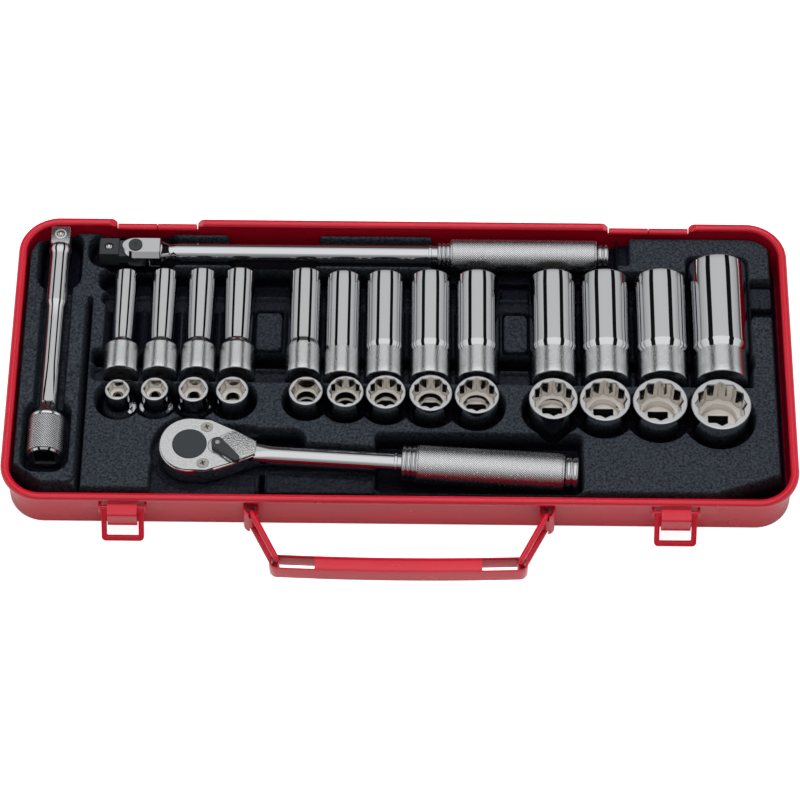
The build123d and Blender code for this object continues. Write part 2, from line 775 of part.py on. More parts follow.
def make_latch_brackets():
    brackets = []
    ear_inside = latch_lever_width / 2 + latch_ear_gap
    for side in (-1, 1):
        pads = block(-latch_pad_length / 2, latch_pad_length / 2, front_wall - sheet,
                     front_wall, latch_pad_bottom, latch_pad_top)
        pads = fillet(pads.edges().filter_by(Axis.Y), 1.5)
        bracket = pads
        for end in (-1, 1):
            x0 = min(end * ear_inside, end * (ear_inside + sheet))
            ear = block(x0, x0 + sheet, latch_pin_y - 1.8, front_wall, latch_pin_height - 2.2,
                        latch_pad_top)
            bracket += ear
        hole = rod_x(latch_pin_radius, -15, 15, latch_pin_y, latch_pin_height)
        brackets.append(Pos(side * latch_offset, 0, 0) * (bracket - hole))
    return Compound(children=brackets)


def make_latch_pins():
    half = latch_lever_width / 2 + latch_ear_gap + sheet
    pins = [rod_x(latch_pin_radius, side * latch_offset - half, side * latch_offset + half,
                  latch_pin_y, latch_pin_height) for side in (-1, 1)]
    return Compound(children=pins)


def make_latch_lever(side):
    """Window-framed lever, drawn hanging from its pin, then swung out to rest."""
    half = latch_lever_width / 2
    window_half = latch_window_width / 2
    plan = RectangleRounded(latch_lever_width, latch_lever_length, 2.4)
    frame = Pos(0, 0, -latch_lever_length / 2) * Rot(90, 0, 0) * extrude(
        plan, latch_lever_thickness / 2, both=True)
    window = block(-window_half, window_half, -5, 5, -latch_lever_length + latch_crossbar, 3)
    hub = rod_x(latch_hub_radius, -half, half)
    middle = block(-window_half, window_half, -5, 5, -5, 5)
    hole = rod_x(latch_pin_radius + pin_running_clearance, -half, half)
    trunnion = rod_x(latch_trunnion_radius + pin_running_clearance, -half, half, 0,
                     -latch_trunnion_reach)
    lever = frame + hub - middle - window - hole - trunnion
    place = Pos(side * latch_offset, latch_pin_y, latch_pin_height)
    return place * Rot(-latch_rest_angle, 0, 0) * lever


claw_lean = math.radians(latch_rest_angle)
claw_y = latch_pin_y - latch_trunnion_reach * math.sin(claw_lean)
claw_z = latch_pin_height - latch_trunnion_reach * math.cos(claw_lean)
claw_top = latch_pin_height + 2.2
claw_rear = latch_pin_y + 0.8
claw_front = latch_pin_y - 5.7
claw_lip = 14.2


def make_latch_claw(side):
    """Hook plate: flat top, bent-down lip and two cheeks on the trunnion."""
    half = latch_claw_width / 2
    skin = latch_claw_sheet
    top = block(-half, half, claw_front, claw_rear, claw_top - skin, claw_top)
    lip = block(-half, half, claw_front, claw_front + skin, claw_lip, claw_top)
    claw = top + lip
    for end in (-1, 1):
        x0 = min(end * half, end * (half - skin))
        cheek = make_face(Plane.YZ * Polyline(
            (claw_front, claw_lip + 1.5), (claw_front, claw_top), (claw_y + 1.0, claw_top),
            (claw_y + 1.6, claw_z), (claw_y, claw_z - 1.6), close=True))
        claw += Pos(x0, 0, 0) * extrude(cheek, skin, dir=(1, 0, 0))
    trunnion_half = latch_lever_width / 2
    for end in (-1, 1):
        start = min(end * (half - skin), end * trunnion_half)
        stop = max(end * (half - skin), end * trunnion_half)
        claw += rod_x(latch_trunnion_radius, start, stop, claw_y, claw_z)
    return Pos(side * latch_offset, 0, 0) * claw


# ---------------------------------------------------------------- carrying handle
strap_y = front_wall - strap_axis_out
strap_outer_radius = strap_inner_radius + strap_sheet
link_length = math.hypot(link_run_x, link_run_y)
grip_centre_y = strap_y - link_run_y - grip_channel_offset


def make_handle_brackets():
    """Belt-loop straps welded to the wall, stepped where the wire links pass."""
    brackets = []
    clear = link_wire_radius + 0.3
    for side in (-1, 1):
        outer = Circle(strap_outer_radius) + Pos(0, strap_axis_out / 2) * Rectangle(
            2 * strap_outer_radius, strap_axis_out)
        inner = Circle(strap_inner_radius) + Pos(0, strap_axis_out / 2) * Rectangle(
            2 * strap_inner_radius, strap_axis_out)
        strap = slab(outer - inner, strap_bottom, strap_top)
        inward = -side
        x0 = min(inward * -0.6, inward * 8)
        x1 = max(inward * -0.6, inward * 8)
        strap -= block(x0, x1, -8, 8, link_upper_height - clear, strap_top + 1)
        strap -= block(x0, x1, -8, 8, strap_bottom - 1, link_lower_height + clear)
        brackets.append(Pos(side * handle_offset, strap_y, 0) * strap)
    return Compound(children=brackets)


def make_handle_link(side):
    """A closed wire link: upper and lower runs joined by upright ends."""
    height = link_upper_height - link_lower_height
    bend = link_wire_radius + 0.6
    outline = Plane.XZ * (Pos(link_length / 2, height / 2) * RectangleRounded(
        link_length, height, bend))
    path = outline.face().outer_wire()
    start = Plane(origin=path @ 0, z_dir=path % 0)
    link = sweep(start * Circle(link_wire_radius), path=path)
    angle = math.degrees(math.atan2(-link_run_y, -side * link_run_x))
    return Pos(side * handle_offset, strap_y, link_lower_height) * Rot(0, 0, angle) * link


def make_handle_grip():
    """Folded channel: walls wrap round both ends, the top is open over the link slots."""
    half_depth = grip_depth / 2
    outer = RectangleRounded(2 * grip_half_length, grip_depth, half_depth - 0.01)
    inner = RectangleRounded(2 * (grip_half_length - grip_sheet), grip_depth - 2 * grip_sheet,
                             half_depth - grip_sheet - 0.01)
    walls = slab(outer - inner, grip_bottom, grip_top)
    top = block(-grip_slot_end, grip_slot_end, -half_depth, half_depth,
                grip_top - grip_sheet, grip_top)
    return Pos(0, grip_centre_y, 0) * (walls + top)


# ---------------------------------------------------------------- export
def all_pieces():
    pieces = {
        "case_body": make_case_body(),
        "hinge_leaves": make_hinge_leaves(),
        "tray_insert": make_tray_insert(),
        "latch_brackets": make_latch_brackets(),
        "latch_pins": make_latch_pins(),
        "latch_lever_left": make_latch_lever(-1),
        "latch_lever_right": make_latch_lever(1),
        "latch_claw_left": make_latch_claw(-1),
        "latch_claw_right": make_latch_claw(1),
        "handle_brackets": make_handle_brackets(),
        "handle_link_left": make_handle_link(-1),
        "handle_link_right": make_handle_link(1),
        "handle_grip": make_handle_grip(),
        "extension_bar": make_extension_bar(),
        "extension_ball": make_extension_ball(),
        "extension_ball_spring": make_extension_ball_spring(),
        "hinge_handle_shank": make_hinge_handle_shank(),
        "hinge_handle_grip": make_hinge_handle_grip(),
        "hinge_handle_head": make_hinge_handle_head(),
        "hinge_handle_pin": make_hinge_handle_pin(),
        "hinge_handle_ball": make_hinge_handle_ball(),
        "hinge_handle_ball_spring": make_hinge_handle_ball_spring(),
        "ratchet_body": make_ratchet_body(),
        "ratchet_grip": make_ratchet_grip(),
        "ratchet_cover": make_ratchet_cover(),
        "ratchet_cover_screws": make_cover_screws(),
        "ratchet_gear": make_ratchet_gear(),
        "ratchet_lever": make_ratchet_lever(),
        "ratchet_pawl": make_ratchet_pawl(),
        "ratchet_detent": make_ratchet_detent(),
        "ratchet_detent_spring": make_ratchet_detent_spring(),
        "ratchet_drive_ball": make_ratchet_ball(),
        "ratchet_drive_ball_spring": make_ratchet_ball_spring(),
    }
    for row in socket_table:
        pieces[f"socket_{row[0]:02d}mm"] = make_standing_socket(row)
        pieces[f"deep_socket_{row[0]:02d}mm"] = make_deep_socket(row)
    return pieces


os.makedirs("parts", exist_ok=True)
for name, piece in all_pieces().items():
    export_step(piece, f"parts/{name}.step")
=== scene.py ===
from math import radians

import bmesh
import bpy
import numpy as np
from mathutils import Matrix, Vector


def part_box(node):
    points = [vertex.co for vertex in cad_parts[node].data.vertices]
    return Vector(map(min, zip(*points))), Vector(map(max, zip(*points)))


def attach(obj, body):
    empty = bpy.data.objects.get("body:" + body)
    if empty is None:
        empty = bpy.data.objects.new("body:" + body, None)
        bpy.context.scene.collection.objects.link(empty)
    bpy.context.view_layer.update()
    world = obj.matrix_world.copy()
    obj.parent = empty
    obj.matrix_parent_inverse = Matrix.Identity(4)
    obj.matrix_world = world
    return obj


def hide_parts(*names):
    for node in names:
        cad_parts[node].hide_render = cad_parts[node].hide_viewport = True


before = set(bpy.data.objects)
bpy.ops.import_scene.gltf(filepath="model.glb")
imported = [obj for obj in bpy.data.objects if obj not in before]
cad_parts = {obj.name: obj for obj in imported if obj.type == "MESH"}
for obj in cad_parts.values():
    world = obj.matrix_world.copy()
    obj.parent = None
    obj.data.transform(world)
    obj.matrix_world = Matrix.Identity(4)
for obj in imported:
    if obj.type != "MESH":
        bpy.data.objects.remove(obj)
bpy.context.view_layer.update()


# ---------------------------------------------------------------- case pan
# The lower half of the case: sheet steel drawn into a shallow pan, its edge rolled
# outwards into a round bead, then sprayed with a glossy red enamel. Two chamfered
# notches in the rear bead leave room for the hinge barrels.
def object_coordinates(nodes):
    """The Object output of a Texture Coordinate node, in metres."""
    return nodes.new("ShaderNodeTexCoord").outputs["Object"]


def effect_group(name, inputs, outputs):
    """An empty node group with the named inputs (name, kind, value) and outputs (name, kind)."""
    tree = bpy.data.node_groups.new(name, "ShaderNodeTree")
    for label, kind, value in inputs:
        socket = tree.interface.new_socket(label, in_out="INPUT", socket_type=kind)
        if value is not None:
            socket.default_value = value
    for label, kind in outputs:
        tree.interface.new_socket(label, in_out="OUTPUT", socket_type=kind)
    return tree, tree.nodes.new("NodeGroupInput"), tree.nodes.new("NodeGroupOutput")


def build_mottle_group():
    """Two octaves of noise at a given scale, spread between a low and a high value."""
    tree, given, result = effect_group(
        "mottle",
        [("Place", "NodeSocketVector", None), ("Scale", "NodeSocketFloat", 300.0),
         ("Low", "NodeSocketFloat", 0.0), ("High", "NodeSocketFloat", 1.0)],
        [("Value", "NodeSocketFloat")])
    noise = tree.nodes.new("ShaderNodeTexNoise")
    noise.inputs["Detail"].default_value = 2.0
    spread = tree.nodes.new("ShaderNodeMapRange")
    spread.inputs["From Min"].default_value = 0.3
    spread.inputs["From Max"].default_value = 0.7
    tree.links.new(given.outputs["Place"], noise.inputs["Vector"])
    tree.links.new(given.outputs["Scale"], noise.inputs["Scale"])
    tree.links.new(noise.outputs["Fac"], spread.inputs["Value"])
    tree.links.new(given.outputs["Low"], spread.inputs["To Min"])
    tree.links.new(given.outputs["High"], spread.inputs["To Max"])
    tree.links.new(spread.outputs["Result"], result.inputs["Value"])
    return tree


mottle = build_mottle_group()


def mottled(nodes, links, place, **values):
    """The mottle's value in a material, fed with coordinates and fixed inputs."""
    node = nodes.new("ShaderNodeGroup")
    node.node_tree = mottle
    links.new(place, node.inputs["Place"])
    for label, value in values.items():
        node.inputs[label].default_value = value
    return node.outputs["Value"]


def new_finish(name, colour, metallic, roughness):
    """A material with one Principled BSDF; returns it with its nodes, links and shader."""
    material = bpy.data.materials.new(name)
    material.use_nodes = True
    nodes, links = material.node_tree.nodes, material.node_tree.links
    shader = nodes["Principled BSDF"]
    shader.inputs["Base Color"].default_value = (*colour, 1.0)
    shader.inputs["Metallic"].default_value = metallic
    shader.inputs["Roughness"].default_value = roughness
    return material, nodes, links, shader


def two_tone(nodes, links, value, dark, light):
    """A colour between dark and light by a value from 0 to 1."""
    mix = nodes.new("ShaderNodeMix")
    mix.data_type = "RGBA"
    mix.inputs["A"].default_value = (*dark, 1.0)
    mix.inputs["B"].default_value = (*light, 1.0)
    links.new(value, mix.inputs["Factor"])
    return mix.outputs["Result"]


def raise_bump(nodes, links, shader, height, distance, strength=1.0):
    """Feeds a height into a Bump node on the shader's normal; distance is in metres."""
    bump = nodes.new("ShaderNodeBump")
    bump.inputs["Distance"].default_value = distance
    bump.inputs["Strength"].default_value = strength
    links.new(height, bump.inputs["Height"])
    links.new(bump.outputs["Normal"], shader.inputs["Normal"])


def red_enamel():
    """Sprayed gloss enamel: faint orange peel, slight unevenness of colour and gloss."""
    material, nodes, links, shader = new_finish("red_enamel", (0.62, 0.004, 0.02), 0.0, 0.24)
    shader.inputs["Coat Weight"].default_value = 0.35
    shader.inputs["Coat Roughness"].default_value = 0.08
    place = object_coordinates(nodes)
    cloud = mottled(nodes, links, place, Scale=24.0)
    tone = two_tone(nodes, links, cloud, (0.50, 0.002, 0.018),
                    (0.56, 0.003, 0.022))
    links.new(tone, shader.inputs["Base Color"])
    gloss = mottled(nodes, links, place, Scale=60.0, Low=0.21, High=0.28)
    links.new(gloss, shader.inputs["Roughness"])
    peel = mottled(nodes, links, place, Scale=420.0)
    raise_bump(nodes, links, shader, peel, 0.00002, 0.15)
    return material


enamel = red_enamel()


def signed_volume(points, quads, caps):
    """A sixth of the sum of a . (b x c) over the faces' triangles, fanned from each first corner."""
    total = 0.0
    triangles = [quads[:, [0, 1, 2]], quads[:, [0, 2, 3]]]
    for cap in caps:
        fan = np.column_stack([np.full(len(cap) - 2, cap[0]), cap[1:-1], cap[2:]])
        triangles.append(fan)
    for faces in triangles:
        a, b, c = points[faces[:, 0]], points[faces[:, 1]], points[faces[:, 2]]
        total += np.einsum("ij,ij->i", a, np.cross(b, c)).sum()
    return total / 6.0


def skin_rings(rings, loop=False, open_start=False, open_end=False, zones=None):
    """Joins closed rings of points, row to row, into a skin whose faces point outwards.

    The quad in row i and column j has the corners (i, j), (i, j+1), (i+1, j+1), (i+1, j).
    A loop joins the last ring to the first; otherwise flat caps close both ends.
    """
    rows, columns = rings.shape[:2]
    index = np.arange(rows * columns).reshape(rows, columns)
    upper = np.roll(index, -1, axis=0) if loop else index[1:]
    lower = index if loop else index[:-1]
    quads = np.stack([lower, np.roll(lower, -1, axis=1), np.roll(upper, -1, axis=1), upper],
                     axis=-1).reshape(-1, 4)
    caps = []
    if not loop and not open_start:
        caps.append(index[0][::-1])
    if not loop and not open_end:
        caps.append(index[-1])
    points = rings.reshape(-1, 3)
    slots = np.zeros(len(quads) + len(caps), int)
    if zones is not None:
        slots[:len(quads)] = np.repeat(zones, columns)
    if signed_volume(points - points.mean(axis=0), quads, caps) < 0:
        quads = quads[:, ::-1]
        caps = [cap[::-1] for cap in caps]
    return points, quads, caps, slots


def finished(name, skins, materials, body, nodes=(), crease=32.0, crests=None):
    """One object from skins in millimetres, in place; edges sharper than the crease stay sharp.

    Crests, one value from 0 to 1 for each point, are kept as the attribute "crest".
    """
    points, loops, sizes, slots, start = [], [], [], [], 0
    for skin_points, quads, caps, skin_slots in skins:
        points.append(skin_points)
        loops.append((quads + start).ravel())
        sizes.append(np.full(len(quads), 4))
        for cap in caps:
            loops.append(np.asarray(cap) + start)
            sizes.append(np.array([len(cap)]))
        slots.append(skin_slots)
        start += len(skin_points)
    points = np.concatenate(points) * 0.001
    loops, sizes = np.concatenate(loops), np.concatenate(sizes)
    mesh = bpy.data.meshes.new(name)
    mesh.vertices.add(len(points))
    mesh.vertices.foreach_set("co", points.astype(np.float32).ravel())
    mesh.loops.add(len(loops))
    mesh.loops.foreach_set("vertex_index", loops.astype(np.int32))
    mesh.polygons.add(len(sizes))
    starts = np.concatenate([[0], np.cumsum(sizes)[:-1]])
    mesh.polygons.foreach_set("loop_start", starts.astype(np.int32))
    mesh.polygons.foreach_set("material_index", np.concatenate(slots).astype(np.int32))
    mesh.update(calc_edges=True)
    if crests is not None:
        crest = mesh.attributes.new("crest", "FLOAT", "POINT")
        crest.data.foreach_set("value", np.concatenate(crests).astype(np.float32))
    mesh.polygons.foreach_set("use_smooth", np.ones(len(sizes), bool))
    mesh.set_sharp_from_angle(angle=radians(crease))
    for material in materials:
        mesh.materials.append(material)
    piece = bpy.data.objects.new(name, mesh)
    bpy.context.scene.collection.objects.link(piece)
    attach(piece, body)
    if nodes:
        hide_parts(*nodes)
    return piece


pan_length, pan_depth, pan_corner = 372.8, 157.4, 17.4
pan_sheet, pan_top, bead_radius, bead_out = 1.0, 26.0, 2.1, 0.5
hinge_offset, hinge_half, hinge_height, barrel_radius = 121.5, 19.5, 22.3, 1.8
notch_gap, notch_chamfer = 0.4, 3.6


def pan_outline(stations):
    """Points and outward normals round a rounded rectangle, anticlockwise from the rear right.

    Each corner is a quarter circle; the rear edge has the given x stations.
    """
    a, b, r = pan_length / 2, pan_depth / 2, pan_corner
    quarter = np.linspace(0, np.pi / 2, 25)
    side = np.linspace(-1, 1, 12)[1:-1]
    spots, normals = [], []

    def corner(cx, cy, start):
        turn = start + quarter
        around = np.column_stack([np.cos(turn), np.sin(turn)])
        spots.append(np.array([cx, cy]) + r * around)
        normals.append(around)

    def edge(points, normal):
        spots.append(points)
        normals.append(np.tile(normal, (len(points), 1)))

    corner(a - r, b - r, 0.0)
    rear = stations[(np.abs(stations) < a - r)][::-1]
    edge(np.column_stack([rear, np.full(len(rear), b)]), (0.0, 1.0))
    corner(-a + r, b - r, np.pi / 2)
    edge(np.column_stack([np.full(len(side), -a), -side * (b - r)]), (-1.0, 0.0))
    corner(-a + r, -b + r, np.pi)
    edge(np.column_stack([side * (a - r), np.full(len(side), -b)]), (0.0, -1.0))
    corner(a - r, -b + r, 1.5 * np.pi)
    edge(np.column_stack([np.full(len(side), a), side * (b - r)]), (1.0, 0.0))
    return np.concatenate(spots), np.concatenate(normals)


def pan_profile():
    """(out, height) from the bottom's underside, up the wall, round the bead and back inside."""
    turn = np.linspace(-np.pi / 2, 0, 7)
    foot = np.column_stack([-1.4 + 1.4 * np.cos(turn), 1.4 + 1.4 * np.sin(turn)])
    roll = np.radians(np.linspace(-103.8, 224.4, 44))
    bead = np.column_stack([bead_out + bead_radius * np.cos(roll),
                            pan_top - bead_radius + bead_radius * np.sin(roll)])
    turn = np.linspace(0, -np.pi / 2, 7)
    heel = np.column_stack([-2.4 + 1.4 * np.cos(turn), 2.4 + 1.4 * np.sin(turn)])
    wall = np.column_stack([np.zeros(3), [8.0, 15.0, 20.0]])
    inner = np.column_stack([np.full(2, -pan_sheet), [16.0, 8.0]])
    return np.concatenate([[[-4.0, 0.0]], foot, wall, bead, inner, heel, [[-4.0, 1.0]]])


def notch_limit(x, y):
    """The height the rear rim may reach: low between the barrel ends, up the chamfers beside."""
    away = np.abs(np.abs(x) - hinge_offset) - hinge_half - notch_gap
    low = hinge_height - barrel_radius - notch_gap
    ramp = hinge_height + away * (pan_top - hinge_height) / notch_chamfer
    limit = np.where(away < 0, low, ramp)
    return np.where((y > 0) & (away < notch_chamfer), limit, 99.0)


def make_pan():
    """The profile carried round the outline, held under the notches' limit at the rear."""
    half = hinge_half + notch_gap
    marks = hinge_offset + np.array([-half - notch_chamfer, -half - 0.01, -half + 0.01, half - 0.01,
                                     half + 0.01, half + notch_chamfer])
    ramps = hinge_offset + np.concatenate([-half - np.linspace(0.5, 3.3, 5),
                                           half + np.linspace(0.5, 3.3, 5)])
    stations = np.sort(np.concatenate([np.linspace(-165, 165, 34), marks, -marks, ramps, -ramps]))
    spots, normals = pan_outline(stations)
    profile = pan_profile()
    limit = notch_limit(spots[:, 0], spots[:, 1])[None, :]
    out = np.repeat(profile[:, :1], len(spots), axis=1)
    height = np.repeat(profile[:, 1:], len(spots), axis=1)
    centre = pan_top - bead_radius
    chord = np.sqrt(np.clip(bead_radius ** 2 - (limit - centre) ** 2, 0, None))
    chord = np.where(limit < centre, chord, bead_radius)
    high = np.maximum(0.0, np.where(limit > 21.86, bead_out + chord, 0.0))
    low = np.minimum(-pan_sheet, np.where(limit > 22.4, bead_out - chord, -pan_sheet))
    cut = height > limit
    out = np.where(cut, np.clip(out, low, high), out)
    height = np.minimum(height, limit)
    rings = np.stack([spots[None, :, 0] + out * normals[None, :, 0],
                      spots[None, :, 1] + out * normals[None, :, 1], height], axis=-1)
    return finished("case_pan", [skin_rings(rings)], [enamel], "case", ["case_body"])


make_pan()


# ---------------------------------------------------------------- lid hinge halves
# Each half is one strip of steel: a flat leaf spot-welded inside the rear wall, its upper
# edge curled into a barrel that is open for the lid's pin. Sprayed with the pan.
def make_hinge_half(centre):
    """A tube of the barrel's section along X, and the leaf as a thin plate below it."""
    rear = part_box("hinge_leaves")[1][1] * 1000
    axis_y = rear - barrel_radius
    turn = np.linspace(0, 2 * np.pi, 33)[:-1]
    skins = []
    for start, end in ((-hinge_half, -0.12), (0.12, hinge_half)):
        stations = np.array([start, start + 0.25, end - 0.25, end])
        outer = np.array([barrel_radius - 0.25, barrel_radius, barrel_radius, barrel_radius - 0.25])
        steps = np.concatenate([stations, stations[::-1]])
        radii = np.concatenate([outer, np.full(4, 1.0)])
        rings = np.stack([centre + np.repeat(steps[:, None], 32, axis=1),
                          axis_y + radii[:, None] * np.cos(turn),
                          hinge_height + radii[:, None] * np.sin(turn)], axis=-1)
        skins.append(skin_rings(rings, loop=True))
    bottom = hinge_height - barrel_radius - 12.0
    outline = np.array([(-hinge_half, bottom + 1), (-hinge_half + 1, bottom), (hinge_half - 1, bottom),
                        (hinge_half, bottom + 1), (hinge_half, hinge_height - 1),
                        (-hinge_half, hinge_height - 1)])
    faces = np.stack([np.stack([centre + outline[:, 0], np.full(6, y), outline[:, 1]], axis=-1)
                      for y in (rear - 1.0, rear - 0.9, rear - 0.1, rear)])
    skins.append(skin_rings(faces))
    return skins


finished("lid_hinge_halves", make_hinge_half(-hinge_offset)
         + make_hinge_half(hinge_offset), [enamel], "case", ["hinge_leaves"])


# ---------------------------------------------------------------- tray insert
# One sheet of black plastic, vacuum-formed over a mould: raised lands between pockets
# shaped for every tool, with drafted walls, soft edges and a fine leather grain.
def box_distance(x, y, cx, cy, half_x, half_y, corner, turn=0.0):
    """Signed distance to a rounded rectangle: negative inside, in millimetres."""
    c, s = np.cos(radians(turn)), np.sin(radians(turn))
    u, v = (x - cx) * c + (y - cy) * s, -(x - cx) * s + (y - cy) * c
    qx, qy = np.abs(u) - half_x + corner, np.abs(v) - half_y + corner
    outside = np.hypot(np.maximum(qx, 0), np.maximum(qy, 0))
    return outside + np.minimum(np.maximum(qx, qy), 0) - corner


def span_distance(x, y, x0, x1, y0, y1, corner):
    """The same, from the rectangle's four sides."""
    return box_distance(x, y, (x0 + x1) / 2, (y0 + y1) / 2, (x1 - x0) / 2, (y1 - y0) / 2, corner)


def soft_min(a, b, k):
    """The smaller of two heights, rounded over a height k where they cross."""
    mix = np.clip(k - np.abs(a - b), 0, None) / k
    return np.minimum(a, b) - mix * mix * k / 4


def soft_max(a, b, k):
    """The larger of two heights, rounded the same way."""
    return -soft_min(-a, -b, k)


land_top, column_top = 19.0, 21.8


def press(height, distance, floor, top=land_top, slope=8.0, ease=2.8):
    """Presses a pocket: inside its outline the wall falls by the slope to a rounded floor."""
    ease = min(ease, 0.8 * (top - floor))
    pocket = soft_max(np.full_like(distance, floor), top + slope * distance, ease * 0.6)
    return soft_min(height, pocket, ease)


def lift(height, distance, top, base=land_top, slope=8.0, ease=1.8):
    """Raises a land: outside its outline the wall falls by the slope from a rounded top."""
    land = soft_min(np.full_like(distance, top), base - slope * distance + (top - base), ease)
    return soft_max(height, land, ease * 0.6)


socket_rows = [
    (8, 11.9, 17.0, 6), (9, 13.2, 17.0, 6), (10, 14.4, 17.0, 6), (11, 15.6, 17.0, 6),
    (12, 16.4, 17.0, 6), (13, 17.7, 17.2, 12), (14, 19.2, 18.0, 12), (15, 20.6, 19.0, 12),
    (16, 21.3, 19.6, 12), (17, 23.4, 21.4, 12), (18, 24.4, 22.0, 12), (19, 26.2, 23.4, 12),
    (21, 28.6, 25.4, 12)]


def box_mm(node):
    """The two corners of a CAD node's box, in millimetres."""
    low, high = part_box(node)
    return np.array(low) * 1000, np.array(high) * 1000


def middle(node):
    """The centre of a CAD node's box, in millimetres."""
    return np.mean(box_mm(node), axis=0)


tray_length, tray_depth, tray_corner = 369.6, 154.2, 15.8
tool_x = middle("extension_bar")[0]
head_x, head_y = middle("ratchet_gear")[:2]
deep_axis = 16.7


def lying_troughs(x, y, height):
    """Round-bottomed troughs of the deep sockets, with thin ridges left between them."""
    for size, nose, drive, _ in socket_rows:
        low, high = box_mm(f"deep_socket_{size:02d}mm")
        centre = (low[0] + high[0]) / 2
        for radius, y0, y1 in ((max(nose, drive) / 2 + 0.9, low[1] - 1.5, 34.0),
                               (nose / 2 + 0.9, 33.0, high[1] + 2.0)):
            across = np.abs(x - centre)
            bowl = deep_axis - np.sqrt(np.clip(radius ** 2 - across ** 2, 0, None))
            wall = deep_axis + 9.0 * (across - radius)
            trough = np.where(across < radius * 0.985, bowl, wall)
            ends = 9.0 * np.maximum(y0 - y, y - y1)
            trough = np.maximum(trough, deep_axis - radius + np.clip(ends, 0, 40))
            height = soft_min(height, trough, 1.2)
    return height


def standing_pockets(x, y, height):
    """Round pockets of the standing sockets, running into one another in a scalloped row."""
    for size, nose, drive, _ in socket_rows:
        cx, cy = middle(f"socket_{size:02d}mm")[:2]
        apart = np.hypot(x - cx, y - cy) - max(nose, drive) / 2 - 3.4
        height = press(height, apart, 2.1, slope=8.5, ease=3.4)
    return height


def tray_edge(x, y):
    """Signed distance to the tray's rounded outline."""
    return box_distance(x, y, 0, 0, tray_length / 2, tray_depth / 2, tray_corner)


def tray_height(x, y):
    """The forming's height over the pan: lands, then every pocket pressed into them."""
    h = np.full_like(x, land_top)
    # left column, with the extension's channel, finger oval and socket-end recess
    h = lift(h, span_distance(x, y, -184.6, -154.6, -69.5, 35.5, 5.0), column_top)
    h = press(h, span_distance(x, y, -154.2, -151.2, -72.0, 38.5, 1.4), 9.0, slope=7.0)
    h = press(h, span_distance(x, y, -190.0, -183.8, 34.0, 78.0, 2.0), 11.0)
    h = press(h, span_distance(x, y, tool_x - 7.6, tool_x + 7.6, -45.0, 58.0, 3.0), 13.6,
              top=column_top, slope=7.0)
    h = press(h, span_distance(x, y, -180.0, -157.8, 41.5, 78.5, 9.5), 5.0, slope=6.0)
    h = press(h, span_distance(x, y, -180.6, -157.4, -64.0, -23.5, 8.0), 10.4,
              top=column_top)
    # hinge handle: head recess, shank channel, finger recess, grip recess
    h = press(h, span_distance(x, y, -155.6, -108.0, 55.6, 77.4, 9.5), 6.0)
    h = press(h, span_distance(x, y, -128.0, 30.0, 57.8, 74.6, 3.0), 13.2)
    h = press(h, span_distance(x, y, -86.8, -40.6, 56.4, 90.0, 5.0), 4.0)
    h = press(h, span_distance(x, y, 14.0, 106.6, 54.0, 90.0, 3.0), 8.6)
    h = press(h, span_distance(x, y, 106.0, 112.5, 60.0, 90.0, 2.0), 11.0)
    # rear recess, rib strip, slot and front strip of the lying sockets, with pads between
    h = press(h, span_distance(x, y, -149.5, 161.5, 41.2, 56.6, 7.0), 4.0)
    h = press(h, span_distance(x, y, 139.5, 170.5, 38.0, 66.0, 4.0), 4.0)
    h = press(h, span_distance(x, y, -147.5, 166.0, 33.6, 42.0, 4.0), 11.6)
    h = press(h, span_distance(x, y, -73.0, -57.0, 8.0, 34.5, 2.0), 6.0)
    h = press(h, span_distance(x, y, 48.4, 62.8, 8.0, 34.5, 2.0), 6.0)
    h = lift(h, span_distance(x, y, -71.2, -58.6, 11.0, 32.2, 2.4), 15.0, base=15.0)
    h = lift(h, span_distance(x, y, 50.0, 61.2, 11.0, 32.2, 2.4), 15.0, base=15.0)
    h = lift(h, span_distance(x, y, 49.0, 62.4, 44.5, 52.0, 1.6), 8.0, base=8.0)
    h = press(h, span_distance(x, y, -150.5, 171.5, -1.0, 8.6, 3.0), 4.0)
    h = press(h, span_distance(x, y, -151.0, 168.0, -10.5, 0.5, 5.0), 12.2, slope=3.0)
    h = lying_troughs(x, y, h)
    # stepped blocks beside the largest deep socket
    h = press(h, span_distance(x, y, 170.6, 190.0, 26.0, 52.5, 1.6), 8.5)
    h = lift(h, span_distance(x, y, 171.0, 181.5, 38.5, 50.0, 1.4), 14.0, base=14.0)
    h = lift(h, span_distance(x, y, 171.0, 181.5, 8.0, 30.0, 2.0), land_top)
    # standing sockets
    h = standing_pockets(x, y, h)
    # ratchet: head recess, lower pad in front, finger oval, shank channel, grip recess
    h = press(h, span_distance(x, y, -119.2, -68.0, -90.0, -47.0, 14.0), 12.2)
    h = press(h, np.hypot(x - head_x, y - head_y) - 19.2, 12.1)
    h = press(h, box_distance(x, y, head_x + 18, head_y - 1.0, 19.0, 15.5, 9.0, -3.3), 12.1)
    h = press(h, span_distance(x, y, -76.5, -44.6, -50.5, -36.6, 6.8), 5.0)
    h = press(h, box_distance(x, y, -54.0, -51.8, 44.0, 8.2, 3.0, -3.3), 11.4)
    h = press(h, span_distance(x, y, -64.0, -12.0, -90.0, -56.0, 5.0), 12.4)
    h = press(h, span_distance(x, y, -12.4, 87.4, -71.5, -38.0, 3.5), 5.6)
    # trenches along the front and right walls, and the steps between the front pads
    h = press(h, span_distance(x, y, -67.6, -63.4, -90.0, -58.0, 1.5), 3.0)
    front = np.interp(x, [-186, -170, -155, -153, -123, -119, -66, -64, -13, -11, 86, 88, 150, 186],
                      [-58, -69.5, -69.5, -70.4, -70.4, -70.2, -70.2, -67.4, -67.4, -71.4, -71.4,
                       -70.4, -70.4, -58])
    h = press(h, y - front, 3.0, slope=5.0)
    h = press(h, 180.6 - x, 4.0, slope=5.0)
    return press(h, -tray_edge(x, y) - 0.9, 3.0, slope=5.0)


